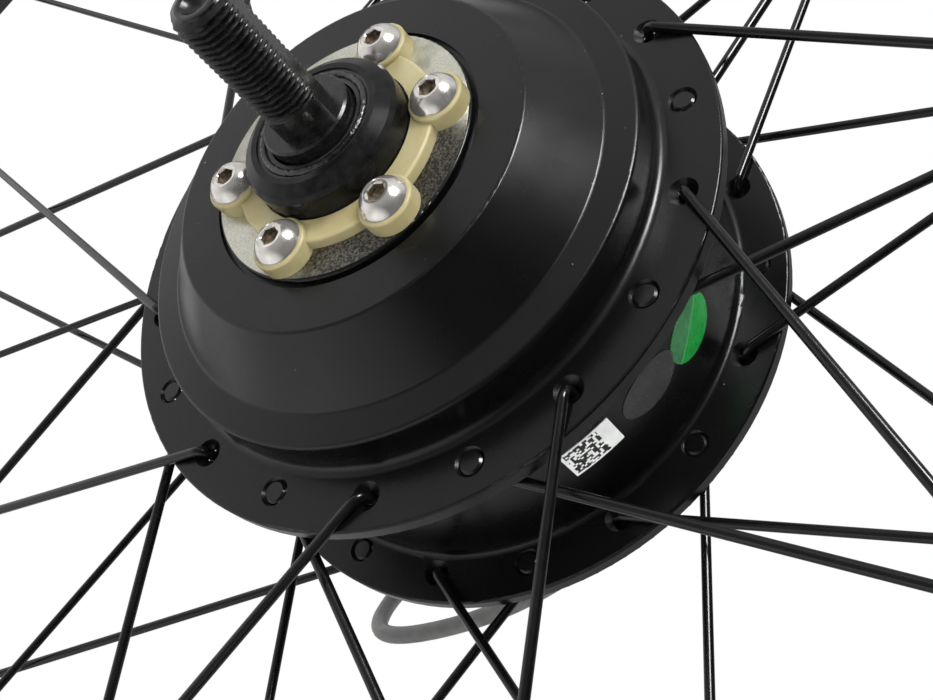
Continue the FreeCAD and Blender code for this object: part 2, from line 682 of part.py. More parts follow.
def make_shell():
    """The cast hub shell with both spoke flanges, the dome and the machined brake disc seat."""
    body = turned_body("hub_shell", [
        ("shell_bore", "drive_flange_face"), ("flange_radius", "drive_flange_face"),
        ("flange_radius", "drive_flange_face - flange_thickness"),
        ("barrel_radius", "drive_flange_face - flange_thickness"),
        ("barrel_radius", "disc_flange_face + flange_thickness"),
        ("flange_radius", "disc_flange_face + flange_thickness"), ("flange_radius", "disc_flange_face"),
        ("collar_radius", "disc_flange_face"), ("collar_radius", "collar_face"),
        ("dome_base_radius", "dome_base"), ("dome_top_radius", "dome_top"),
        ("disc_seat_radius + groove_width", "dome_top"),
        ("disc_seat_radius + groove_width", "dome_top + groove_depth"),
        ("disc_seat_radius", "dome_top + groove_depth"), ("disc_seat_radius", "disc_seat_face"),
        ("cap_radius", "disc_seat_face"), ("cap_radius", "dome_floor"),
        ("dome_top_radius - 4", "dome_floor"), ("shell_bore - 5.5", "shell_floor"),
        ("shell_bore", "shell_floor"),
    ])
    round_edges(body, "barrel_fillet", [
        ("barrel_radius", "drive_flange_face - flange_thickness"),
        ("barrel_radius", "disc_flange_face + flange_thickness")])
    round_edges(body, "root_fillet", [("collar_radius", "disc_flange_face")])
    round_edges(body, "crisp_edge", [
        ("dome_top_radius", "dome_top"), ("collar_radius", "collar_face"),
        ("dome_base_radius", "dome_base")])
    round_edges(body, "soft_edge", [
        ("flange_radius", "disc_flange_face"), ("flange_radius", "disc_flange_face + flange_thickness"),
        ("flange_radius", "drive_flange_face"), ("flange_radius", "drive_flange_face - flange_thickness"),
        ("disc_seat_radius", "disc_seat_face")])
    thick = size("flange_thickness")
    for side, name in ((-1, "disc"), (1, "drive")):
        place = spoke_hole_place(side, 0)[1] - Vector(0, thick, 0)
        drilled_circle(body, f"{name}_spoke_holes", "spoke_hole_radius", "2 * flange_thickness",
                       (place, Vector(0, 1, 0)), 2 * size("spokes_per_group"))
        for face_name, face in (("low", -1), ("high", 1)):
            mouth = spoke_hole_place(side, 0)[1] + Vector(0, face * thick / 2, 0)
            drilled_circle(body, f"{name}_{face_name}_countersinks", "countersink_radius",
                           "countersink_radius - spoke_hole_radius", (mouth, Vector(0, -face, 0)),
                           2 * size("spokes_per_group"), "spoke_hole_radius")
    start, end = spoke_line(-1, True)[2:]
    relief_length = "3 * (flange_radius - spoke_circle)"
    drilled_circle(body, "disc_spoke_reliefs", "spoke_radius + relief_play", relief_length,
                   (start, (end - start).normalize()), size("spokes_per_group"))
    bolt = direction(size("disc_bolt_angle")) * size("disc_bolt_circle")
    place = bolt + Vector(0, size("disc_seat_face") - 1, 0)
    drilled_circle(body, "disc_bolt_holes", "disc_bolt_radius", "disc_bolt_depth",
                   (place, Vector(0, 1, 0)), 6)
    screw = direction(0) * size("cover_screw_circle")
    place = screw + Vector(0, value_of("drive_flange_face + 1 - cover_screw_depth"), 0)
    drilled_circle(body, "cover_screw_holes", "cover_screw_radius", "cover_screw_depth",
                   (place, Vector(0, 1, 0)), size("cover_screw_count"))


def make_cover():
    """The drive side cover with the threaded boss for the freewheel."""
    body = turned_body("side_cover", [
        ("shell_bore - 5", "drive_flange_face - cover_spigot"),
        ("shell_bore", "drive_flange_face - cover_spigot"),
        ("shell_bore", "drive_flange_face"), ("cover_radius", "drive_flange_face"),
        ("cover_radius", "drive_flange_face + cover_edge"),
        ("cover_screw_circle - 4", "drive_flange_face + cover_edge"),
        ("cover_screw_circle - 8", "drive_flange_face + cover_edge + 1.6"),
        ("boss_foot_radius", "boss_foot"), ("freewheel_thread_radius + 2", "boss_foot + 2"),
        ("freewheel_thread_radius", "boss_foot + 4.5"),
        ("freewheel_thread_radius", "cover_end"), ("bearing_radius", "cover_end"),
        ("bearing_radius", "drive_bearing_start"), ("bearing_radius - 1.5", "drive_bearing_start"),
        ("bearing_radius - 1.5", "boss_foot - 1"), ("boss_foot_radius - 4", "boss_foot - 4"),
        ("shell_bore - 6", "drive_flange_face + 0.6"),
        ("shell_bore - 5", "drive_flange_face"),
    ])
    screw = direction(0) * size("cover_screw_circle")
    place = screw + Vector(0, size("drive_flange_face") - 1, 0)
    drilled_circle(body, "screw_holes", "cover_screw_radius + 0.1", "cover_edge + 4",
                   (place, Vector(0, 1, 0)), size("cover_screw_count"))


def screw_solid(radius, length, head_radius, head_height, hexagon, hex_depth):
    """A button head socket screw along Y, its head's underside at the origin and its shank towards +Y."""
    rise = head_height
    sphere_radius = (head_radius ** 2 + rise ** 2) / (2 * rise) * 1.06
    dome = Part.makeSphere(sphere_radius, Vector(0, sphere_radius - rise, 0))
    head = dome.common(rod(head_radius, Vector(0, -rise, 0), Vector(0, 0, 0)))
    points = [direction(60 * index) * (hexagon / math.sqrt(3)) for index in range(7)]
    socket = Part.Face(Part.makePolygon(points)).extrude(Vector(0, hex_depth, 0))
    socket.translate(Vector(0, -rise - 0.01, 0))
    return head.fuse(rod(radius, Vector(0, 0, 0), Vector(0, length, 0))).cut(socket).removeSplitter()


def soft_topped(plug):
    """A rod along the axle with its disc side edge rounded."""
    lowest = plug.BoundBox.YMin + 0.01
    top = [edge for edge in plug.Edges if edge.isClosed() and edge.CenterOfMass.y < lowest]
    return plug.makeFillet(size("cover_ring_edge"), top)


def make_disc_mount():
    """The ring with a raised lobe under each brake disc screw, and the six screws."""
    seat = Vector(0, size("disc_seat_face"), 0)
    above = Vector(0, -3 * size("cover_lobe_height"), 0)
    bolt = direction(size("disc_bolt_angle")) * size("disc_bolt_circle")
    ring_top = Vector(0, -size("cover_ring_height"), 0)
    lobe_top = Vector(0, -size("cover_lobe_height"), 0)
    ring = soft_topped(rod(size("cover_ring_radius"), seat + ring_top, seat))
    lobe = soft_topped(rod(size("cover_ring_lobe"), seat + bolt + lobe_top, seat + bolt))
    ring = ring.fuse(around_axle(lobe, 6).Solids)
    ring = ring.cut(rod(size("cover_ring_bore"), seat + above, seat - above))
    hole = rod(size("disc_bolt_radius") + 0.2, seat + bolt + above, seat + bolt - above)
    shape_part("disc_mount_ring", ring.cut(around_axle(hole, 6)).removeSplitter())
    screw = screw_solid(size("disc_bolt_radius"), size("disc_bolt_length"), size("disc_head_radius"),
                        size("disc_head_height"), size("disc_hex"), size("disc_hex_depth"))
    screw.translate(seat + bolt + lobe_top)
    shape_part("disc_mount_screws", around_axle(screw, 6))


def make_bearings_and_seals():
    """The bearing cap, both hub bearings and both seals."""
    body = turned_body("bearing_cap", [
        ("cap_lip_bore", "cap_top"), ("cap_top_radius", "cap_top"),
        ("cap_radius - 0.6", "cap_shoulder - 0.9"), ("cap_radius", "cap_shoulder"),
        ("cap_radius", "cap_start"), ("bearing_radius", "cap_start"),
        ("bearing_radius", "disc_bearing_start - 0.1"), ("cap_lip_bore", "disc_bearing_start - 0.1"),
    ])
    for side, start in (("disc", "disc_bearing_start"), ("drive", "drive_bearing_start")):
        bearing_race(f"{side}_side_bearing_inner", "bearing_bore", "inner_race_radius", start)
        bearing_race(f"{side}_side_bearing_outer", "outer_race_bore", "bearing_radius", start)
        ball_set(f"{side}_side_bearing_balls", start)
    turned_body("disc_side_seal", ring_outline(
        "seal_bore", "cap_lip_bore", "disc_bearing_start - 0.7", "disc_bearing_start - 0.1"))
    turned_body("drive_side_seal", ring_outline(
        "seal_bore", "bearing_radius", "drive_bearing_start + bearing_width + 0.3", "cover_end - 0.3"))


def make_cover_screws():
    """The screws of the drive side cover."""
    hexagon, hex_depth = 2.0, 1.1
    screw = screw_solid(size("cover_screw_radius"), size("cover_screw_length"), size("cover_head_radius"),
                        size("cover_head_height"), hexagon, hex_depth)
    screw.rotate(Vector(0, 0, 0), Vector(1, 0, 0), 180)
    screw.translate(Vector(size("cover_screw_circle"), value_of("drive_flange_face + cover_edge"), 0))
    shape_part("cover_screws", around_axle(screw, size("cover_screw_count")))


# ---- spokes, nipples and rim ----

def spoke_line(side, outer):
    """Where one spoke of a group starts straight at the flange, and where its nipple meets the rim."""
    index = 0 if outer else 1
    angle, middle = spoke_hole_place(side, index)
    half = size("flange_thickness") / 2
    away = side if outer else -side
    if outer:
        rim_angle = angle - size("lacing_angle")
    else:
        rim_angle = angle + size("wide_lacing_angle" if side < 0 else "lacing_angle")
    end = direction(rim_angle) * size("rim_inner") + Vector(0, side * size("rim_hole_offset"), 0)
    stand = size("spoke_stand") if outer else size("spoke_radius") + 0.1
    start = middle + Vector(0, away * (half + stand), 0)
    return middle, away, start, end


def make_spoke(side, outer):
    """One bent spoke: head, shank through the flange, elbow and straight length."""
    middle, away, start, end = spoke_line(side, outer)
    thin = size("spoke_radius")
    half = size("flange_thickness") / 2
    along = (end - start).normalize()
    shank_axis = Vector(0, away, 0)
    head_place = middle - shank_axis * (half - size("spoke_crown"))
    head = Part.makeCone(size("spoke_head_radius"), thin, size("spoke_head_height"), head_place, shank_axis)
    crown = Part.makeCone(size("spoke_head_radius"), size("spoke_crown_radius"), size("spoke_crown"),
                          head_place, -shank_axis)
    bend_reach = size("elbow_radius")
    bend_in = start - shank_axis * bend_reach
    bend_out = start + along * bend_reach
    shank = rod(thin, head_place, bend_in)
    cosine = shank_axis.dot(along)
    half_turn = math.acos(cosine) / 2
    radius = bend_reach / math.tan(half_turn)
    inwards = (along - shank_axis * cosine).normalize()
    centre = bend_in + inwards * radius
    way_out = (start - centre).normalize()
    arc = Part.Arc(bend_in, centre + way_out * radius, bend_out).toShape()
    profile = Part.Wire([Part.Circle(bend_in, shank_axis, thin).toShape()])
    elbow = Part.Wire([arc]).makePipeShell([profile], True, True)
    straight = rod(thin, bend_out, end - along * 4)
    return head.fuse([crown, shank, elbow, straight]).removeSplitter()


def make_nipple(side, outer):
    """One nipple, in line with its spoke, with its head inside the rim."""
    start, end = spoke_line(side, outer)[2:]
    along = (end - start).normalize()
    tail = end - along * (size("nipple_length") - 3)
    shaft = rod(size("nipple_radius"), tail, end + along * 2.9)
    head = rod(size("nipple_head_radius"), end + along * 2.9, end + along * 4.9)
    spoke_space = rod(size("spoke_radius"), tail - along, end - along * 4)
    return shaft.fuse(head).cut(spoke_space).removeSplitter()


SPOKE_GROUPS = (("disc_side", -1, "outer", True), ("disc_side", -1, "inner", False),
                ("drive_side", 1, "outer", True), ("drive_side", 1, "inner", False))


def make_spokes():
    """Four groups of spokes and all the nipples."""
    nipples = []
    for side_name, side, row_name, outer in SPOKE_GROUPS:
        spokes = around_axle(make_spoke(side, outer), size("spokes_per_group"))
        shape_part(f"spokes_{side_name}_{row_name}", spokes)
        nipples += around_axle(make_nipple(side, outer), size("spokes_per_group")).Solids
    shape_part("nipples", Part.makeCompound(nipples))


def make_rim():
    """The double wall rim with its nipple holes and valve hole."""
    half = [("rim_inner", "5.5"), ("rim_inner + 5", "rim_half_width - 0.8"),
            ("rim_inner + 10", "rim_half_width"), ("rim_edge", "rim_half_width"),
            ("rim_edge", "rim_half_width - rim_wall"), ("bead_seat", "rim_half_width - rim_wall"),
            ("bead_seat", "8"), ("rim_bed", "6")]
    hollow = [("rim_inner + 2", "4.6"), ("rim_inner + 6", "9.6"), ("bead_seat - 1.9", "10.4"),
              ("bead_seat - 1.9", "7.4"), ("rim_bed - 1.6", "5.4")]
    loops = []
    for points in (half, hollow):
        mirrored = [(across, f"-({along})") for across, along in reversed(points)]
        loops.append(points + mirrored)
    body = turned_body("rim", *loops)
    for side_name, side, row_name, outer in SPOKE_GROUPS:
        start, end = spoke_line(side, outer)[2:]
        along = (end - start).normalize()
        name = f"{side_name}_{row_name}_holes"
        drilled_circle(body, name, "nipple_radius + 0.25", "rim_hole_depth",
                       (end - along * 3, along), size("spokes_per_group"))
        drilled_circle(body, name + "_access", "nipple_head_radius + 1.2", "rim_access_depth",
                       (end + along * 4, along), size("spokes_per_group"))
    way = direction(size("valve_angle"))
    inside = way * (size("rim_inner") - 1)
    cut_hole(body, "valve_hole", "valve_hole_radius", "rim_edge - rim_inner + 2", inside, way)


# ---- labels on the barrel ----

def barrel_label(label, angle, along, half_along, half_around, oval):
    """A thin sticker wrapped on the barrel, oval or rectangular."""
    outer = size("barrel_radius") + size("sticker_thickness")
    skin = tube(size("barrel_radius"), outer, along - 2 * half_along, along + 2 * half_along)
    way = direction(angle)
    across = way.cross(Vector(0, 1, 0))
    depth = 8.0
    centre = way * (size("barrel_radius") - depth) + Vector(0, along, 0)
    if oval:
        ellipse = Part.Ellipse(centre + across * half_around, centre + Vector(0, half_along, 0), centre)
        if half_along > half_around:
            ellipse = Part.Ellipse(centre + Vector(0, half_along, 0), centre + across * half_around, centre)
        outline = Part.Wire([ellipse.toShape()])
    else:
        corners = [centre + across * (half_around * a) + Vector(0, half_along * b, 0)
                   for a, b in ((-1, -1), (1, -1), (1, 1), (-1, 1), (-1, -1))]
        outline = Part.makePolygon(corners)
    cutter = Part.Face(outline).extrude(way * 2 * depth)
    shape_part(label, skin.common(cutter))


# ---- motor lead ----

LEAD_ROUTE = [
    (-18.2, 105.4, -8.1), (-36, 106.3, -16), (-59.5, 107.9, -28.2), (-81.2, 110.4, -42.2),
    (-72.2, 91.8, -63.8), (-33, 90, -52), (-4, 89.2, -31), (11.6, 88.3, -11), (11.6, 88.3, 10),
]


def lead_tube(points, radius):
    """A tube along straight runs joined by the largest tangent arcs that the runs leave room for."""
    places = [Vector(*point) for point in points]
    edges = []
    path_length = 0
    here = places[0]
    for before, corner, after in zip(places, places[1:], places[2:]):
        way_in = (corner - before).normalize()
        way_out = (after - corner).normalize()
        half_turn = way_in.getAngle(way_out) / 2
        shorter = min((corner - before).Length, (after - corner).Length)
        bend = 0.45 * shorter / math.tan(half_turn)
        reach = 0.45 * shorter
        arc_in = corner - way_in * reach
        arc_out = corner + way_out * reach
        centre = corner + (way_out - way_in).normalize() * (bend / math.cos(half_turn))
        middle = centre + (corner - centre).normalize() * bend
        edges.append(Part.LineSegment(here, arc_in).toShape())
        edges.append(Part.Arc(arc_in, middle, arc_out).toShape())
        path_length += (arc_in - here).Length + bend * 2 * half_turn
        here = arc_out
        print(f"lead bend radius {bend:.1f} mm, turn {math.degrees(2 * half_turn):.0f} degrees")
    edges.append(Part.LineSegment(here, places[-1]).toShape())
    path_length += (places[-1] - here).Length
    path = Part.Wire(edges)
    start_way = (places[1] - places[0]).normalize()
    profile = Part.Wire([Part.Circle(places[0], start_way, radius).toShape()])
    solid = path.makePipeShell([profile], True, False)
    print(f"lead length {path_length:.1f} mm, volume {solid.Volume:.0f}, "
          f"section times length {math.pi * radius ** 2 * path_length:.0f}")
    return solid


def make_lead():
    """The motor lead: inside the axle, through the boot, and its free length with the connector."""
    radius = size("lead_radius")
    half = size("axle_length") / 2
    turn = Vector(0, size("lead_exit"), 0)
    board_reach = 24.0
    inside = rod(radius, turn, Vector(0, half, 0)).fuse(rod(radius, turn, turn + Vector(0, 0, -board_reach)))
    inside = inside.fuse(Part.makeSphere(radius, turn)).removeSplitter()
    shape_part("axle_lead", inside)

    exit_place = Vector(*LEAD_ROUTE[0])
    elbow = Vector(0, half + size("boot_length"), 0)
    way = (exit_place - elbow).normalize()
    boot = rod(size("boot_radius"), Vector(0, half, 0), elbow)
    boot = boot.fuse(Part.makeSphere(size("boot_radius"), elbow))
    taper = Part.makeCone(size("boot_radius") - 0.8, size("boot_end_radius"),
                          (exit_place - elbow).Length, elbow, way)
    shape_part("cable_boot", boot.fuse(taper).removeSplitter())
    shape_part("motor_cable", lead_tube(LEAD_ROUTE, radius))

    plug_start = Vector(*LEAD_ROUTE[-1])
    plug_way = (plug_start - Vector(*LEAD_ROUTE[-2])).normalize()
    outer = size("connector_radius")
    length = size("connector_length")

    def along(distance):
        return plug_start + plug_way * distance

    tail_length = 9.0
    shell_start = length - 14
    mouth_floor = length - 9
    tail = Part.makeCone(radius + 0.8, outer - 1, tail_length, along(0), plug_way)
    barrel = rod(outer - 1, along(tail_length), along(shell_start))
    shell = rod(outer, along(shell_start), along(length))
    mouth = rod(outer - 1.6, along(mouth_floor), along(length))
    shape_part("connector_body", tail.fuse([barrel, shell]).cut(mouth).removeSplitter())
    side = plug_way.cross(Vector(0, 1, 0)).normalize()
    other = plug_way.cross(side)
    pin_length = 6.0
    centres = [Vector(0, 0, 0)]
    for index in range(8):
        turn_angle = math.radians(45 * index)
        way_out = side * math.cos(turn_angle) + other * math.sin(turn_angle)
        centres.append(way_out * size("pin_circle"))
    pins = [rod(size("pin_radius"), along(mouth_floor) + centre, along(mouth_floor + pin_length) + centre)
            for centre in centres]
    shape_part("connector_pins", Part.makeCompound(pins))
    seal = rod(outer + 0.6, along(shell_start + 1), along(shell_start + 3))
    shape_part("connector_seal", seal.cut(rod(outer, along(shell_start), along(length))))


def make_clip():
    """The moulded clip that holds the end of the lead across the axle."""
    wall = size("clip_wall")
    width = size("clip_width")
    place = Vector(*LEAD_ROUTE[-1])
    grip = size("axle_thread_radius") + size("clip_play")
    hold = size("lead_radius") + size("clip_play")
    lead_middle = Vector(place.x, place.y, 0)
    axle_ring = rod(grip + wall, Vector(0, place.y - width / 2, 0), Vector(0, place.y + width / 2, 0))
    upwards = Vector(0, 0, width / 2)
    lead_ring = rod(hold + wall, lead_middle - upwards, lead_middle + upwards)
    bridge = Part.makeBox(place.x, width - 2, width - 2, Vector(0, place.y - width / 2 + 1, 1 - width / 2))
    clip = axle_ring.fuse([lead_ring, bridge])
    clip = clip.cut(rod(grip, Vector(0, place.y - width, 0), Vector(0, place.y + width, 0)))
    clip = clip.cut(rod(hold, lead_middle - Vector(0, 0, width), lead_middle + Vector(0, 0, width)))
    shape_part("cable_clip", clip.removeSplitter())


make_axle()
make_still_parts()
make_stator_core()
make_windings()
make_hall_board()
make_carrier()
make_gears()
make_rotor()
make_shell()
make_cover()
make_disc_mount()
make_bearings_and_seals()
make_cover_screws()
make_spokes()
make_rim()
barrel_label("green_sticker", 348.6, -8.6, 5.9, 7.3, True)
barrel_label("grey_sticker", 334.4, -10.6, 4.7, 6.9, True)
barrel_label("code_label", 318.1, -10.4, 4.3, 5.8, False)
make_lead()
make_clip()
doc.recompute()

os.makedirs("parts", exist_ok=True)
nodes = [item for item in doc.Objects if item.TypeId in ("PartDesign::Body", "Part::Feature")]
for item in doc.Objects:
    if "Invalid" in item.State or "Error" in item.State:
        raise RuntimeError(f"{item.Label} did not compute: {item.State}")
for node in nodes:
    if node.Shape.isNull() or not node.Shape.isValid() or node.Shape.Volume <= 0:
        raise RuntimeError(f"{node.Label} has no valid shape")
    node.Shape.exportStep(f"parts/{node.Label}.step")
    print(f"{node.Label}: {len(node.Shape.Solids)} solids, {node.Shape.Volume:.0f} mm3")
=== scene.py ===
"""The looks of the hub motor wheel: camera, light, materials and the pieces that replace CAD solids."""

import math

import bpy
from mathutils import Matrix, Vector


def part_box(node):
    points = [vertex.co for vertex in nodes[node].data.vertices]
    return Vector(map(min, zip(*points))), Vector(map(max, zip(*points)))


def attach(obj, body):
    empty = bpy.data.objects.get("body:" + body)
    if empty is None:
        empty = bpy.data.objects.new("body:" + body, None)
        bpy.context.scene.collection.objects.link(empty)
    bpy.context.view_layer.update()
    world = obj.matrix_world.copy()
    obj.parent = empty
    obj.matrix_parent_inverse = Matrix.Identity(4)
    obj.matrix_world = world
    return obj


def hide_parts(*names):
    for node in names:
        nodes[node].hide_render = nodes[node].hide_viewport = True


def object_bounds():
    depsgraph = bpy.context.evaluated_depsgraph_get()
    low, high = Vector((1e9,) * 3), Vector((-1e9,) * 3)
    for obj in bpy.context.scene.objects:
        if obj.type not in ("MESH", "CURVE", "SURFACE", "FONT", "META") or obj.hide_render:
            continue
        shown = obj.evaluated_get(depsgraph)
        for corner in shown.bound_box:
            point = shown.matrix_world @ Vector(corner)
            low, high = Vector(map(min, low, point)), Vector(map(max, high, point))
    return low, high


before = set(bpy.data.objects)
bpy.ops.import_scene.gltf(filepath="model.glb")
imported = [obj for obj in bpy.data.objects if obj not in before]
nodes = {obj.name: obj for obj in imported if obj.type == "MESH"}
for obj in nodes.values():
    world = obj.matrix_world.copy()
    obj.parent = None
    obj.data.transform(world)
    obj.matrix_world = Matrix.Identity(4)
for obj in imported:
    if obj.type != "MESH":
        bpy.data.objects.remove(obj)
cad_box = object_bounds()
MM = 0.001

# The camera at the photograph's viewpoint. It stands below the axle, in front of the disc side.
CAMERA_PLACE = Vector((142.63, -192.37, -107.57)) * MM
CAMERA_RIGHT = Vector((0.8648, 0.4373, 0.2466))
CAMERA_UP = Vector((-0.0211, -0.4592, 0.8881))
CAMERA_SENSOR = 36.0
CAMERA_LENS = 45.51
CAMERA_SHIFT = (-0.0796, -0.0053)

# The lead's route, as in the CAD source, in metres.
LEAD_ROUTE = [
    (-0.0182, 0.1054, -0.0081),
    (-0.0360, 0.1063, -0.0160),
    (-0.0595, 0.1079, -0.0282),
    (-0.0812, 0.1104, -0.0422),
    (-0.0722, 0.0918, -0.0638),
    (-0.0330, 0.0900, -0.0520),
    (-0.0040, 0.0892, -0.0310),
    (0.0116, 0.0883, -0.0110),
    (0.0116, 0.0883, 0.0100),
]
LEAD_DIAMETER = 0.005

# The axle, in mm. Both ends have the thread and two flats. The thread's profile is a steep triangle wave, cut
# off level at its crests and valleys.
THREAD_RADIUS = 6.0
THREAD_PITCH = 1.25
THREAD_DEPTH = 0.75
THREAD_STEEPNESS = 1.5
THREAD_CREST = 0.3
THREAD_START = 72.0
FLAT_START = 67.5
AXLE_FLAT = 5.0
FLAT_ANGLE = math.radians(32.7)
CORE_RADIUS = 8.5
CORE_START = -26.0
CORE_END = 38.0
NOSE_START = 3.9
NOSE_LENGTH = 2.0
LEAD_BORE = 3.2
LEAD_BORE_DEPTH = 12.0
DRIVE_END_RADIUS = 4.6
DRIVE_END_CHAMFER = 0.7

# The button head screws of the disc mount, in mm. Each socket has its own twist, in radians.
SCREW_COUNT = 6
SCREW_CIRCLE = 22.0
FIRST_SCREW = 21.8
HEAD_RADIUS = 4.85
HEAD_HEIGHT = 2.75
HEAD_RIM = 2.6
DOME_RADIUS = 5.32
DOME_SINK = 1.89
HEX_ACROSS = 3.3
SOCKET_TWISTS = (0.4, 0.1, 0.75, 0.3, 0.9, 0.55)

# The machined disc seat, and the direction from the axle in which it is painted dark: with oil, and with
# painted shade for the dark part of its reflection.
SEAT_FACE = -55.94
SEAT_RADIUS = 27.66
OILY_AND_SHADED_SIDE = (0.758, 0, -0.652)

# The seal's grease ripples: height in mm, waves around the axle, slant and start.
GREASE_RIPPLES = [(0.06, 3, 0, 0.7), (0.04, 11, 1, 0), (0.04, 29, 5, 0), (0.03, 53, 9, 0)]

# The stickers lie on the barrel, and their skirts reach a little way into it. In mm.
BARREL_RADIUS = 56.0
STICKER_THICKNESS = 0.14
STICKER_SKIRT = 0.05

# A piece's edge is sharp from this angle on.
CREASE_ANGLE = math.radians(38)

# Glow of the studio's walls: (turn, climb) in degrees, strength, and the angles from its middle where it
# starts to fade and ends.
STUDIO_GLOWS = [
    ((-88, -12), 0.85, 15, 80),
    ((-12, 5), 0.20, 20, 65),
    ((-60, 75), 0.52, 35, 75),
    ((-30, -75), 0.75, 15, 45),
    ((172, -15), 0.40, 25, 70),
]
DARK_ROOM = 0.012

# The floor lies just below the wheel, and fades between two distances from the wheel's centre. In metres.
FLOOR_REACH = 25.0
FLOOR_DROP = 0.002
FADE_START = 0.4
FADE_END = 1.5


def make_camera():
    """The camera, held at its place with its right and up directions."""
    data = bpy.data.cameras.new("camera")
    data.sensor_width = CAMERA_SENSOR
    data.lens = CAMERA_LENS
    data.shift_x, data.shift_y = CAMERA_SHIFT
    data.clip_start = 0.01
    data.clip_end = 30
    camera = bpy.data.objects.new("camera", data)
    bpy.context.scene.collection.objects.link(camera)
    axes = Matrix((CAMERA_RIGHT, CAMERA_UP, CAMERA_RIGHT.cross(CAMERA_UP))).transposed()
    camera.matrix_world = Matrix.Translation(CAMERA_PLACE) @ axes.to_4x4()
    bpy.context.scene.camera = camera


class Surface:
    """A procedural material. Its textures lie in the row frame, so sizes are real sizes."""

    def __init__(self, name, **shader_values):
        self.material = bpy.data.materials.new(name)
        self.material.use_nodes = True
        self.tree = self.material.node_tree
        self.shader = self.tree.nodes["Principled BSDF"]
        for socket, value in shader_values.items():
            self.shader.inputs[socket.replace("_", " ")].default_value = value
        self.place = self.add("TexCoord").outputs["Object"]

    def add(self, kind, inputs=None, **settings):
        """One node, with its inputs linked or set."""
        node = self.tree.nodes.new("ShaderNode" + kind)
        for name, value in settings.items():
            setattr(node, name, value)
        for name, value in (inputs or {}).items():
            if isinstance(value, bpy.types.NodeSocket):
                self.tree.links.new(value, node.inputs[name])
            else:
                node.inputs[name].default_value = value
        return node

    def feed(self, socket, value):
        """Link a value to one of the shader's own sockets."""
        self.tree.links.new(value, self.shader.inputs[socket])

    def noise(self, size_mm, detail):
        """Noise whose blotches are about size_mm wide."""
        inputs = {"Vector": self.place, "Scale": 1 / (size_mm * MM), "Detail": detail}
        return self.add("TexNoise", inputs).outputs["Fac"]

    def maths(self, operation, a, b=0.0):
        """One step of arithmetic on one or two values."""
        return self.add("Math", {0: a, 1: b}, operation=operation).outputs[0]

    def ramp(self, value, *stops):
        """Colours or greys along a value, given as (position, colour or grey)."""
        node = self.add("ValToRGB", {"Fac": value})
        elements = node.color_ramp.elements
        while len(elements) < len(stops):
            elements.new(0.5)
        for element, (position, shade) in zip(elements, stops):
            element.position = position
            element.color = (*shade, 1) if isinstance(shade, tuple) else (shade, shade, shade, 1)
        return node.outputs["Color"]

    def mix(self, share, a, b):
        """A mix of two colours."""
        node = self.add("Mix", data_type="RGBA")
        for index, value in ((0, share), (6, a), (7, b)):
            if isinstance(value, bpy.types.NodeSocket):
                self.tree.links.new(value, node.inputs[index])
            else:
                node.inputs[index].default_value = (*value, 1) if isinstance(value, tuple) else value
        return node.outputs[2]

    def from_axle(self):
        """Distance from the axle, in mm."""
        across = (1 / MM, 0, 1 / MM)
        flat = self.add("VectorMath", {0: self.place, 1: across}, operation="MULTIPLY").outputs[0]
        return self.add("VectorMath", {0: flat}, operation="LENGTH").outputs["Value"]

    def along(self, axis):
        """Position along one axis, in mm."""
        parts = self.add("SeparateXYZ", {0: self.place})
        return self.maths("MULTIPLY", parts.outputs[axis], 1 / MM)

    def stripes(self, value, pitch_mm):
        """Even waves along a value in mm, from 0 to 1."""
        wave = self.maths("SINE", self.maths("MULTIPLY", value, 2 * math.pi / pitch_mm))
        return self.maths("MULTIPLY_ADD", wave, 0.5)

    def bump(self, height, depth_mm):
        """Relief from a height that runs from 0 to 1."""
        inputs = {"Height": height, "Distance": depth_mm * MM, "Strength": 1.0}
        self.feed("Normal", self.add("Bump", inputs).outputs["Normal"])


def plain_finish(name, dark, light, size_mm, rough, depth_mm, **shader_values):
    """A material that varies between two colours and two roughnesses, with fine relief."""
    surface = Surface(name, **shader_values)
    surface.feed("Base Color", surface.ramp(surface.noise(size_mm, 4), (0.3, dark), (0.7, light)))
    fine = surface.noise(size_mm / 6, 3)
    surface.feed("Roughness", surface.ramp(fine, (0.3, rough[0]), (0.7, rough[1])))
    surface.bump(fine, depth_mm)
    return surface


def dust(surface, paint, speck, spacing_mm, speck_mm, share):
    """Specks of dust over a paint colour, one in each cell whose random roll beats the share."""
    cells = surface.add("TexVoronoi", {"Vector": surface.place, "Scale": 1 / (spacing_mm * MM)})
    near = surface.maths("LESS_THAN", cells.outputs["Distance"], speck_mm / spacing_mm / 2)
    roll = surface.add("SeparateColor", {0: cells.outputs["Color"]}).outputs[0]
    chosen = surface.maths("GREATER_THAN", roll, share)
    return surface.mix(surface.maths("MULTIPLY", near, chosen), paint, speck)


def black_paint():
    """Satin black paint on a casting: faint orange peel, haze and specks of dust."""
    surface = Surface("satin_black_paint", Specular_IOR_Level=0.42)
    dark, light = (0.0014, 0.0015, 0.0015), (0.003, 0.0031, 0.003)
    haze = surface.ramp(surface.noise(30, 4), (0.3, dark), (0.75, light))
    surface.feed("Base Color", dust(surface, haze, (0.12, 0.12, 0.11), 3.0, 0.3, 0.8))
    surface.feed("Roughness", surface.ramp(surface.noise(12, 5), (0.3, 0.25), (0.7, 0.31)))
    surface.bump(surface.noise(0.7, 2), 0.003)
    return surface


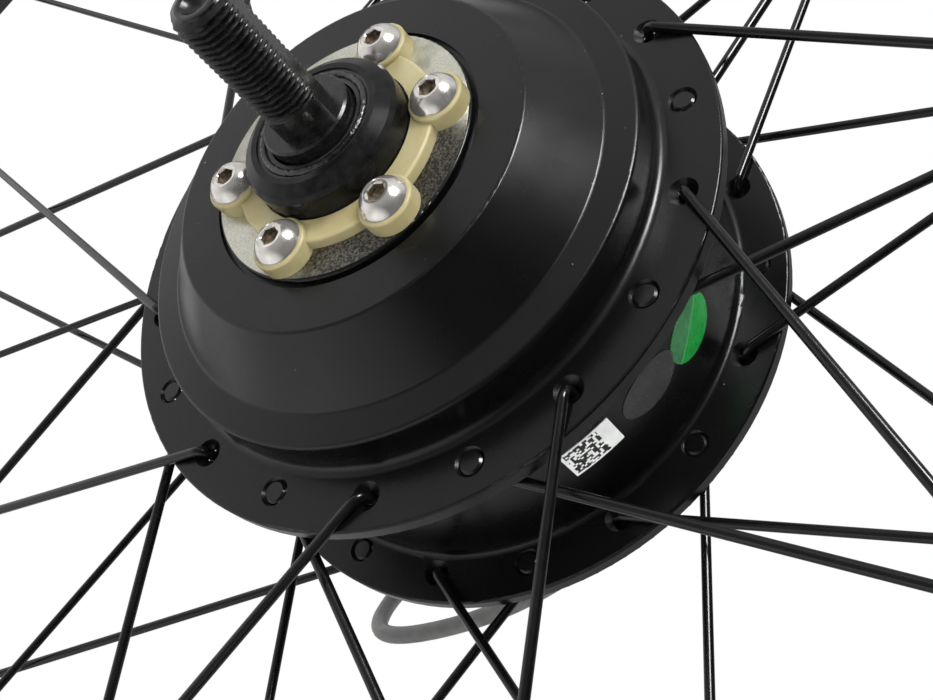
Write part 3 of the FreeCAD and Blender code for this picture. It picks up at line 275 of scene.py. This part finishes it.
def turned_aluminium():
    """The bare machined disc seat: fine rings, pale oxide, one side grainy and dark with oil and painted
    shade.
    """
    surface = Surface("turned_aluminium", Metallic=0.9, Anisotropic=1.0, Anisotropic_Rotation=0.195)
    cloud = surface.ramp(surface.noise(9, 5), (0.3, (0.70, 0.70, 0.60)), (0.62, (0.84, 0.83, 0.73)))
    stain = surface.ramp(surface.noise(6, 4), (0.52, 0.0), (0.66, 0.75))
    grain = surface.ramp(surface.noise(0.4, 6), (0.42, 0.2), (0.6, 0.0))
    worn = surface.mix(grain, cloud, (0.14, 0.13, 0.1))
    stained = surface.mix(surface.maths("MULTIPLY", stain, 0.5), worn, (0.2, 0.19, 0.16))
    # Painted shade: one side of the seat is darkened partly for real oil and grain, partly for the dark part
    # of the turned face's reflection.
    inputs = {0: surface.place, 1: OILY_AND_SHADED_SIDE}
    across = surface.add("VectorMath", inputs, operation="DOT_PRODUCT").outputs["Value"]
    side = surface.maths("DIVIDE", surface.maths("MULTIPLY", across, 1 / MM), surface.from_axle())
    edge = surface.maths("ADD", side, surface.maths("MULTIPLY", surface.noise(5, 5), 0.6))
    oil_and_shade = surface.ramp(surface.maths("MULTIPLY", edge, 0.5), (0.34, 0.0), (0.52, 0.95))
    # The first colour is the dark of that side, oil together with painted shade; the second is its pale pits.
    oil, speck = (0.02, 0.019, 0.016), (0.22, 0.21, 0.18)
    mottle = surface.ramp(surface.noise(0.45, 6), (0.42, oil), (0.64, speck))
    surface.feed("Base Color", surface.mix(oil_and_shade, stained, mottle))
    rings = surface.stripes(surface.from_axle(), 0.23)
    surface.feed("Roughness", surface.ramp(surface.noise(1.1, 4), (0.3, 0.3), (0.7, 0.42)))
    surface.feed("Tangent", surface.add("Tangent", direction_type="RADIAL", axis="Y").outputs[0])
    relief = surface.maths("ADD", surface.maths("MULTIPLY", rings, 0.2), surface.noise(0.35, 4))
    surface.bump(relief, 0.007)
    return surface


def ivory():
    """Ivory nylon: milky, a little yellower in blotches, with moulded gloss and small dark specks."""
    surface = Surface("ivory_nylon", Subsurface_Weight=0.25, Subsurface_Scale=0.002)
    surface.shader.inputs["Subsurface Radius"].default_value = (1.0, 0.8, 0.5)
    yellow, milky = (0.28, 0.238, 0.115), (0.345, 0.305, 0.17)
    tint = surface.ramp(surface.noise(7, 4), (0.35, yellow), (0.65, milky))
    surface.feed("Base Color", dust(surface, tint, (0.05, 0.035, 0.02), 6.0, 0.8, 0.86))
    surface.feed("Roughness", surface.ramp(surface.noise(2.5, 4), (0.3, 0.3), (0.7, 0.48)))
    surface.bump(surface.noise(1.6, 3), 0.03)
    return surface


def greasy_black(name, rough, pitch_mm=0.9, ring_mm=0.02, blotch_mm=1.4, **shader_values):
    """Black turned steel with oil on it, with rings around the axle."""
    surface = Surface(name, **shader_values)
    thin, thick = (0.0025, 0.0025, 0.0025), (0.008, 0.008, 0.0078)
    mottle = surface.ramp(surface.noise(2.2, 5), (0.35, thin), (0.7, thick))
    surface.feed("Base Color", mottle)
    blotches = surface.noise(blotch_mm, 5)
    surface.feed("Roughness", surface.ramp(blotches, (0.35, rough[0]), (0.65, rough[1])))
    rings = surface.stripes(surface.from_axle(), pitch_mm)
    surface.bump(surface.maths("ADD", surface.maths("MULTIPLY", rings, 0.4), blotches), ring_mm)
    return surface


def polished():
    """Polished stainless steel with soft smears."""
    surface = Surface("polished_steel", Metallic=0.88)
    warm, bright = (0.70, 0.67, 0.63), (0.82, 0.79, 0.75)
    smear = surface.ramp(surface.noise(1.8, 5), (0.35, warm), (0.65, bright))
    surface.feed("Base Color", smear)
    surface.feed("Roughness", surface.ramp(surface.noise(1.2, 4), (0.3, 0.15), (0.7, 0.22)))
    surface.bump(surface.noise(1.5, 2), 0.004)
    return surface


def stacked(name, colour, axis, pitch_mm):
    """Thin layers across an axis, such as a lamination stack or wound wire."""
    surface = Surface(name, Metallic=0.8)
    lines = surface.stripes(surface.along(axis), pitch_mm)
    dark = tuple(c * 0.4 for c in colour)
    layers = surface.mix(lines, dark, colour)
    surface.feed("Base Color", surface.mix(surface.noise(3, 4), layers, colour))
    surface.feed("Roughness", surface.ramp(surface.noise(1, 3), (0.3, 0.3), (0.7, 0.5)))
    surface.bump(lines, 0.05)
    return surface


def make_surfaces():
    """One surface for each of the record's material slots, and three for details within a slot."""
    ground = dict(size_mm=4, rough=(0.2, 0.4), depth_mm=0.006, Metallic=1.0)
    casting = dict(size_mm=5, rough=(0.35, 0.6), depth_mm=0.06, Metallic=1.0)
    rubber = dict(size_mm=3, rough=(0.5, 0.65), depth_mm=0.02)
    jacket = dict(size_mm=4, rough=(0.28, 0.4), depth_mm=0.008)
    nylon = dict(size_mm=6, rough=(0.35, 0.5), depth_mm=0.02, Subsurface_Weight=0.1)
    cap = dict(pitch_mm=1.9, ring_mm=0.004, blotch_mm=6.0, Specular_IOR_Level=0.2)
    anodised = dict(size_mm=8, rough=(0.26, 0.36), depth_mm=0.002, Metallic=0.4)
    spoke = dict(size_mm=9, rough=(0.16, 0.24), depth_mm=0.0008)
    board = dict(size_mm=3, rough=(0.3, 0.5), depth_mm=0.02)
    seal = dict(size_mm=2, rough=(0.25, 0.6), depth_mm=0.05)
    wet = dict(size_mm=2.4, rough=(0.05, 0.3), depth_mm=0.12, Specular_IOR_Level=0.9)
    socket = dict(size_mm=0.9, rough=(0.25, 0.5), depth_mm=0.03, Metallic=0.8)
    surfaces = {
        "satin_black_paint": black_paint(),
        "turned_aluminium": turned_aluminium(),
        "ivory_nylon": ivory(),
        "polished_steel": polished(),
        "black_cap": greasy_black("black_cap", (0.2, 0.32), **cap),
        "blackened_steel": greasy_black("blackened_steel", (0.18, 0.34), ring_mm=0.006),
        "lamination_steel": stacked("lamination_steel", (0.36, 0.37, 0.39), "Y", 0.5),
        "copper_enamel": stacked("copper_enamel", (0.55, 0.2, 0.07), "Y", 0.8),
    }
    plain = [
        ("bare_steel", (0.42, 0.42, 0.43), (0.6, 0.6, 0.6), ground),
        ("magnet_plating", (0.5, 0.5, 0.5), (0.68, 0.68, 0.67), ground),
        ("nipple_brass", (0.48, 0.48, 0.48), (0.66, 0.65, 0.62), ground),
        ("contact_gold", (0.7, 0.5, 0.2), (0.85, 0.63, 0.28), ground),
        ("bronze", (0.4, 0.24, 0.1), (0.58, 0.38, 0.17), ground),
        ("cast_aluminium", (0.45, 0.46, 0.47), (0.65, 0.66, 0.67), casting),
        ("circuit_board", (0.01, 0.12, 0.04), (0.03, 0.2, 0.08), board),
        ("white_nylon", (0.72, 0.7, 0.62), (0.85, 0.84, 0.78), nylon),
        ("seal_rubber", (0.008, 0.008, 0.008), (0.02, 0.02, 0.02), seal),
        ("black_rubber", (0.008, 0.008, 0.008), (0.014, 0.014, 0.014), rubber),
        ("black_spoke", (0.002, 0.002, 0.0022), (0.004, 0.004, 0.0042), spoke),
        ("black_rim", (0.008, 0.008, 0.0085), (0.016, 0.016, 0.0165), anodised),
        ("grey_jacket", (0.085, 0.087, 0.085), (0.12, 0.122, 0.118), jacket),
        ("black_grease", (0.002, 0.002, 0.002), (0.005, 0.005, 0.005), wet),
        ("socket_grease", (0.05, 0.035, 0.022), (0.34, 0.28, 0.2), socket),
    ]
    for name, dark, light, finish in plain:
        surfaces[name] = plain_finish(name, dark, light, **finish)
    return surfaces


def new_piece(name, points, faces, body, surface, replaced=()):
    """A mesh piece in mm that rides on a body and takes a slot's finish."""
    mesh = bpy.data.meshes.new(name)
    mesh.from_pydata([Vector(p) * MM for p in points], [], faces)
    mesh.validate()
    mesh.materials.append(surface.material)
    piece = bpy.data.objects.new(name, mesh)
    bpy.context.scene.collection.objects.link(piece)
    piece.data.shade_smooth()
    piece.data.set_sharp_from_angle(angle=CREASE_ANGLE)
    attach(piece, body)
    if replaced:
        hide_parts(*replaced)
    return piece


def ring_grid(rows, around, radius_at, closed):
    """Points and faces of rings about the axle, closed when the last row meets the first.

    A row is (radius, along), and radius_at may change it at each angle.
    """
    points = []
    for row in rows:
        for step in range(around):
            angle = 2 * math.pi * step / around
            radius, along = radius_at(row, angle)
            points.append((radius * math.cos(angle), along, radius * math.sin(angle)))
    count = len(rows)
    faces = []
    for row in range(count if closed else count - 1):
        for step in range(around):
            following = (step + 1) % around
            here = row * around
            beyond = (row + 1) % count * around
            faces.append((here + step, here + following, beyond + following, beyond + step))
    return points, faces


def axle_radius(row, angle):
    """Radius of the threaded axle's skin at one row and angle. Rows no wider than the nose's start have no
    thread.
    """
    radius, along = row
    far = abs(along)
    if far > THREAD_START and radius > NOSE_START:
        phase = (along / THREAD_PITCH - angle / (2 * math.pi)) % 1
        valley = min(1.0, max(0.0, THREAD_STEEPNESS * abs(2 * phase - 1) - THREAD_CREST))
        fade = min(1.0, (far - THREAD_START) / THREAD_PITCH)
        radius -= THREAD_DEPTH * valley * fade
    if far > FLAT_START:
        across = abs(math.cos(angle - FLAT_ANGLE))
        radius = min(radius, AXLE_FLAT / max(across, 0.01))
    return radius, along


def make_axle(surfaces):
    """The axle with its screw thread, two flats, rounded nose and centre recess."""
    low, high = (corner.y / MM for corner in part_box("axle"))
    around = 160
    nose_steps = 8
    step = THREAD_PITCH / 10
    # the shoulder at the start of a flat is this long
    edge = 0.02
    recess = [(0.3, 1.9), (1.3, 1.7), (2.4, 0.9), (2.9, 0.25), (3.2, 0.03), (3.5, 0)]
    rows = [(radius, low + depth) for radius, depth in recess]
    for index in range(nose_steps + 1):
        turn = math.radians(90 * index / nose_steps)
        reach = (THREAD_RADIUS - NOSE_START) * math.sin(turn)
        rows.append((NOSE_START + reach, low + NOSE_LENGTH * (1 - math.cos(turn))))
    along = low + NOSE_LENGTH + step
    while along < -THREAD_START:
        rows.append((THREAD_RADIUS, along))
        along += step
    for along in (-THREAD_START, -FLAT_START - edge, -FLAT_START, CORE_START):
        rows.append((THREAD_RADIUS, along))
    rows += [(CORE_RADIUS, CORE_START), (CORE_RADIUS, CORE_END)]
    for along in (CORE_END, FLAT_START, FLAT_START + edge, THREAD_START):
        rows.append((THREAD_RADIUS, along))
    along = THREAD_START + step
    while along < high - NOSE_LENGTH:
        rows.append((THREAD_RADIUS, along))
        along += step
    rows += [(THREAD_RADIUS - DRIVE_END_CHAMFER, high - DRIVE_END_CHAMFER), (DRIVE_END_RADIUS, high)]
    rows += [(LEAD_BORE, high), (LEAD_BORE, high - LEAD_BORE_DEPTH), (0.3, high - LEAD_BORE_DEPTH - 0.5)]
    points, faces = ring_grid(rows, around, axle_radius, closed=False)
    faces.append(tuple(range(around)))
    faces.append(tuple(reversed(range(len(points) - around, len(points)))))
    surface = surfaces["blackened_steel"]
    new_piece("threaded_axle", points, faces, "axle_assembly", surface, ["axle"])


def make_seal_lip(surfaces):
    """The raised rubber lip between the cap and the spacer, wet with uneven grease."""
    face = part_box("disc_side_seal")[0].y / MM
    lip = [(10.1, 0.5), (10.15, -0.1), (10.4, -0.45), (10.7, -0.6)]
    lip += [(11.1, -0.62), (11.4, -0.45), (11.6, -0.1), (11.7, 0.5)]
    rows = [(radius, face + rise) for radius, rise in lip]

    def greasy(row, angle):
        """The rows that stand over the seal's face ripple around the axle."""
        radius, along = row
        ripple = 0
        if along < face:
            for height, waves, slant, start in GREASE_RIPPLES:
                ripple += height * math.sin(waves * angle + slant * radius + start)
        return radius, along - ripple

    around = 300
    points, faces = ring_grid(rows, around, greasy, closed=True)
    new_piece("seal_grease", points, faces, "wheel", surfaces["black_grease"])


def screw_radius(row, angle):
    """Radius of a screw head's skin. Rows with a radius below zero are the walls of the hexagon."""
    radius, along = row
    if radius < 0:
        corner = (math.degrees(angle) + 30) % 60 - 30
        radius = HEX_ACROSS / 2 / math.cos(math.radians(corner))
    return radius, along


def make_screws(surfaces):
    """The button head screws of the disc mount: dome, stepped rim and a hexagon socket."""
    around = 72
    dome_steps = 12
    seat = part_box("disc_mount_screws")[0].y / MM + HEAD_HEIGHT
    top = seat - HEAD_HEIGHT
    rows = [(1.0, seat + 0.5), (HEAD_RADIUS - 0.15, seat), (HEAD_RADIUS, seat - 0.12)]
    for step in range(dome_steps + 1):
        radius = HEAD_RADIUS + (HEAD_RIM - HEAD_RADIUS) * step / dome_steps
        rows.append((radius, seat - math.sqrt(DOME_RADIUS ** 2 - radius ** 2) + DOME_SINK))
    rows += [(HEAD_RIM - 0.06, top + 0.16), (HEAD_RIM - 0.12, top + 0.18), (1.98, top + 0.16)]
    socket_start = len(rows) * around
    rows += [(-1, top + 0.34), (-1, top + 0.38), (-1, top + 1.5), (0.3, top + 1.9)]
    head, head_faces = ring_grid(rows, around, screw_radius, closed=False)
    head_faces.append(tuple(range(len(head) - around, len(head))))
    points, faces = [], []
    for index, twist in enumerate(SOCKET_TWISTS):
        turn = math.radians(FIRST_SCREW + 360 / SCREW_COUNT * index)
        for x, along, z in head:
            across = x * math.cos(twist) - z * math.sin(twist)
            up = x * math.sin(twist) + z * math.cos(twist)
            across += SCREW_CIRCLE * math.cos(turn)
            up += SCREW_CIRCLE * math.sin(turn)
            points.append((across, along, up))
        faces += [tuple(corner + index * len(head) for corner in face) for face in head_faces]
    steel = surfaces["polished_steel"]
    replaced = ["disc_mount_screws"]
    screws = new_piece("button_screws", points, faces, "wheel", steel, replaced)
    screws.data.materials.append(surfaces["socket_grease"].material)
    for index, face in enumerate(screws.data.polygons):
        if index % len(head_faces) >= socket_start:
            face.material_index = 1


def make_cord(surfaces):
    """The grey motor lead, on the route's own smooth line."""
    curve = bpy.data.curves.new("motor_lead", "CURVE")
    curve.dimensions = "3D"
    spline = curve.splines.new("NURBS")
    spline.points.add(len(LEAD_ROUTE) - 1)
    for point, place in zip(spline.points, LEAD_ROUTE):
        point.co = (*place, 1)
    spline.order_u = 3
    spline.use_endpoint_u = True
    spline.resolution_u = 16
    curve.bevel_depth = LEAD_DIAMETER / 2
    curve.bevel_resolution = 8
    curve.use_fill_caps = True
    curve.materials.append(surfaces["grey_jacket"].material)
    lead = bpy.data.objects.new("motor_lead", curve)
    bpy.context.scene.collection.objects.link(lead)
    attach(lead, "axle_assembly")
    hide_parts("motor_cable")


def floor_finish():
    """Pale floor paint that fades into the white backdrop away from the wheel, for the camera only."""
    paint = plain_finish("floor_paint", (0.78, 0.78, 0.77), (0.84, 0.84, 0.83), 60, (0.7, 0.9), 0.02)
    metres = paint.add("VectorMath", {0: paint.place}, operation="LENGTH").outputs["Value"]
    longest = 2.0
    stops = (FADE_START / longest, 0.0), (FADE_END / longest, 1.0)
    far = paint.ramp(paint.maths("DIVIDE", metres, longest), *stops)
    faded = paint.maths("MULTIPLY", far, paint.add("LightPath").outputs["Is Camera Ray"])
    backdrop = paint.add("Emission")
    mixed = paint.add("MixShader", {0: faded, 1: paint.shader.outputs[0], 2: backdrop.outputs[0]})
    paint.tree.links.new(mixed.outputs[0], paint.tree.nodes["Material Output"].inputs["Surface"])
    return paint.material


def make_floor_and_light():
    """A pale floor under the wheel, a dark studio with glowing walls, and soft lamps."""
    floor_mesh = bpy.data.meshes.new("floor")
    reach = FLOOR_REACH
    down = cad_box[0].z - FLOOR_DROP
    corners = [(-reach, -reach, down), (reach, -reach, down), (reach, reach, down), (-reach, reach, down)]
    floor_mesh.from_pydata(corners, [], [(0, 1, 2, 3)])
    floor_mesh.materials.append(floor_finish())
    floor = bpy.data.objects.new("floor", floor_mesh)
    bpy.context.scene.collection.objects.link(floor)
    floor.visible_glossy = False
    make_studio()
    # The softbox shows in glossy surfaces. The three fills only brighten what is matt.
    lamp("key_softbox", (38, 30), 1.2, (0.36, 0.42), 15.0, True)
    lamp("camera_side_fill", (50, -12), 1.3, (1.0, 1.0), 16.0, False)
    lamp("left_fill", (-60, 35), 1.3, (1.0, 1.0), 12.0, False)
    lamp("far_side_fill", (150, 40), 1.6, (1.2, 1.2), 24.0, False)
    bpy.context.scene.view_settings.view_transform = "Standard"


def towards(turn, climb):
    """A direction in degrees: its turn to the right of the disc side's own direction, and its climb."""
    turn, climb = math.radians(turn), math.radians(climb)
    return Vector((math.sin(turn) * math.cos(climb), -math.cos(turn) * math.cos(climb), math.sin(climb)))


def make_studio():
    """A dark room with broad glowing walls for the object, and a white backdrop for the camera."""
    world = bpy.data.worlds.new("studio")
    bpy.context.scene.world = world
    world.use_nodes = True
    tree = world.node_tree

    def add(kind, *inputs, **settings):
        """One world node, with its first inputs linked or set."""
        node = tree.nodes.new("ShaderNode" + kind)
        for name, value in settings.items():
            setattr(node, name, value)
        for index, value in enumerate(inputs):
            if isinstance(value, bpy.types.NodeSocket):
                tree.links.new(value, node.inputs[index])
            else:
                node.inputs[index].default_value = value
        return node

    way = add("TexCoord").outputs["Generated"]
    total = DARK_ROOM
    for (turn, climb), strength, full, end in STUDIO_GLOWS:
        near = add("VectorMath", way, towards(turn, climb), operation="DOT_PRODUCT").outputs["Value"]
        angle = add("Math", near, operation="ARCCOSINE").outputs[0]
        fade = add("MapRange", angle, math.radians(end), math.radians(full), 0.0, strength)
        fade.interpolation_type = "SMOOTHSTEP"
        total = add("Math", fade.outputs[0], total, operation="ADD").outputs[0]
    seen = add("LightPath").outputs["Is Camera Ray"]
    shown = add("Math", total, seen, operation="MAXIMUM").outputs[0]
    tree.links.new(shown, tree.nodes["Background"].inputs["Color"])
    tree.nodes["Background"].inputs["Strength"].default_value = 1.0


def lamp(name, aim, distance, sides, power, glossy):
    """A soft rectangular lamp that faces the wheel's centre."""
    data = bpy.data.lights.new(name, "AREA")
    data.shape = "RECTANGLE"
    data.size, data.size_y = sides
    data.energy = power
    light = bpy.data.objects.new(name, data)
    light.location = towards(*aim) * distance
    light.rotation_mode = "QUATERNION"
    light.rotation_quaternion = light.location.to_track_quat("Z", "Y")
    light.visible_glossy = glossy
    bpy.context.scene.collection.objects.link(light)


def sticker(name, angle, along, half_along, half_around, oval, surface, replaced):
    """A curved sticker on the barrel. Its own axes are around, along and outwards, for its pattern."""
    rings, steps = 12, 72
    outlines = []
    for ring in range(rings + 1):
        share = ring / rings
        row = []
        for step in range(steps):
            turn = 2 * math.pi * step / steps
            x, y = math.cos(turn), math.sin(turn)
            if not oval:
                corner = max(abs(x), abs(y))
                x, y = x / corner, y / corner
            row.append((x * share * half_around, y * share * half_along))
        outlines.append(row)
    points = []
    for ring, row in enumerate(outlines[1:] + [outlines[-1]]):
        lift = STICKER_THICKNESS if ring < rings else -STICKER_SKIRT
        for x, y in row:
            arc = x / BARREL_RADIUS
            radius = BARREL_RADIUS + lift
            points.append((radius * math.sin(arc), y, radius * math.cos(arc) - BARREL_RADIUS))
    points.append((0, 0, STICKER_THICKNESS))
    faces = []
    for ring in range(rings):
        for step in range(steps):
            following = (step + 1) % steps
            a, b = ring * steps + step, ring * steps + following
            faces.append((a, b, b + steps, a + steps))
    for step in range(steps):
        faces.append((step, len(points) - 1, (step + 1) % steps))
    mesh = bpy.data.meshes.new(name)
    mesh.from_pydata([Vector(p) * MM for p in points], [], faces)
    mesh.materials.append(surface.material)
    mesh.shade_smooth()
    mesh.set_sharp_from_angle(angle=CREASE_ANGLE)
    piece = bpy.data.objects.new(name, mesh)
    bpy.context.scene.collection.objects.link(piece)
    out = Vector((math.cos(math.radians(angle)), 0, math.sin(math.radians(angle))))
    forward = Vector((0, 1, 0))
    axes = Matrix((forward.cross(out), forward, out)).transposed()
    centre = (out * BARREL_RADIUS + forward * along) * MM
    piece.matrix_world = Matrix.Translation(centre) @ axes.to_4x4()
    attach(piece, "wheel")
    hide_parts(replaced)


def green_vinyl():
    """Two tone green vinyl: greyer on one side of a slanting line and strong green on the other."""
    surface = Surface("green_vinyl", Coat_Weight=0.2)
    line_place, line_width, wander = 0.2 * MM, 0.24 * MM, 0.8 * MM
    parts = surface.add("SeparateXYZ", {0: surface.place})
    lean = surface.maths("MULTIPLY", parts.outputs["X"], 0.55)
    slant = surface.maths("SUBTRACT", parts.outputs["Y"], lean)
    offset = surface.maths("ADD", slant, surface.maths("MULTIPLY", surface.noise(3, 2), wander))
    clouds = surface.noise(2.5, 4)
    pale = surface.ramp(clouds, (0.3, (0.016, 0.10, 0.032)), (0.7, (0.024, 0.135, 0.045)))
    strong = surface.ramp(clouds, (0.3, (0.003, 0.15, 0.02)), (0.7, (0.006, 0.2, 0.032)))
    two_tone = surface.mix(surface.maths("GREATER_THAN", offset, -line_place), pale, strong)
    from_line = surface.maths("ABSOLUTE", surface.maths("ADD", offset, line_place))
    line = surface.maths("LESS_THAN", from_line, line_width / 2)
    surface.feed("Base Color", surface.mix(line, two_tone, (0.08, 0.3, 0.11)))
    surface.feed("Roughness", surface.ramp(surface.noise(1.5, 3), (0.3, 0.22), (0.7, 0.36)))
    surface.bump(surface.noise(2.0, 3), 0.03)
    return surface


def code_pattern():
    """White paper with a plain pattern of random dark blocks, which is no real code."""
    surface = Surface("white_label")
    cell_mm, cells, white_share = 0.52, 7, 0.44
    parts = surface.add("SeparateXYZ", {0: surface.place})
    snapped = []
    inside = None
    for axis, middle in (("X", 1.3), ("Y", 0.0)):
        place = surface.maths("MULTIPLY_ADD", parts.outputs[axis], 1 / (cell_mm * MM))
        place.node.inputs[2].default_value = -middle / cell_mm
        snapped.append(surface.maths("FLOOR", place))
        near = surface.maths("LESS_THAN", surface.maths("ABSOLUTE", place), cells + 0.5)
        inside = near if inside is None else surface.maths("MULTIPLY", inside, near)
    cell = surface.add("CombineXYZ", {"X": snapped[0], "Y": snapped[1]}).outputs[0]
    roll = surface.add("TexWhiteNoise", {"Vector": cell}, noise_dimensions="2D").outputs["Value"]
    dark = surface.maths("MULTIPLY", surface.maths("GREATER_THAN", roll, white_share), inside)
    paper = surface.ramp(surface.noise(3, 4), (0.3, (0.62, 0.63, 0.63)), (0.7, (0.78, 0.79, 0.78)))
    surface.feed("Base Color", surface.mix(dark, paper, (0.02, 0.02, 0.02)))
    surface.feed("Roughness", surface.ramp(surface.noise(1.5, 3), (0.3, 0.4), (0.7, 0.55)))
    surface.bump(surface.noise(1.5, 3), 0.01)
    return surface


def make_stickers():
    """The three stickers on the barrel between the flanges."""
    grey = plain_finish("grey_vinyl", (0.018, 0.0182, 0.018), (0.03, 0.0305, 0.03), 4, (0.25, 0.4), 0.02)
    sticker("green_oval", 348.6, -8.6, 5.9, 7.3, True, green_vinyl(), "green_sticker")
    sticker("grey_oval", 334.4, -10.6, 5.2, 7.6, True, grey, "grey_sticker")
    sticker("code_panel", 318.1, -10.4, 4.3, 5.8, False, code_pattern(), "code_label")


def dress_nodes(surfaces):
    """Each CAD node takes the surface of its slot. The shell's machined seat gets its own."""
    level_within = 0.02
    for node in nodes.values():
        for index, material in enumerate(node.data.materials):
            slot = material.name.split(".")[0]
            if slot in surfaces:
                node.data.materials[index] = surfaces[slot].material
    shell = nodes["hub_shell"].data
    shell.materials.append(surfaces["turned_aluminium"].material)
    for face in shell.polygons:
        corners = [shell.vertices[i].co / MM for i in face.vertices]
        level = all(abs(corner.y - SEAT_FACE) < level_within for corner in corners)
        if level and all(math.hypot(corner.x, corner.z) < SEAT_RADIUS for corner in corners):
            face.material_index = 1


make_camera()
surfaces = make_surfaces()
make_cord(surfaces)
make_floor_and_light()
dress_nodes(surfaces)
make_axle(surfaces)
make_seal_lip(surfaces)
make_screws(surfaces)
make_stickers()

bpy.context.view_layer.update()
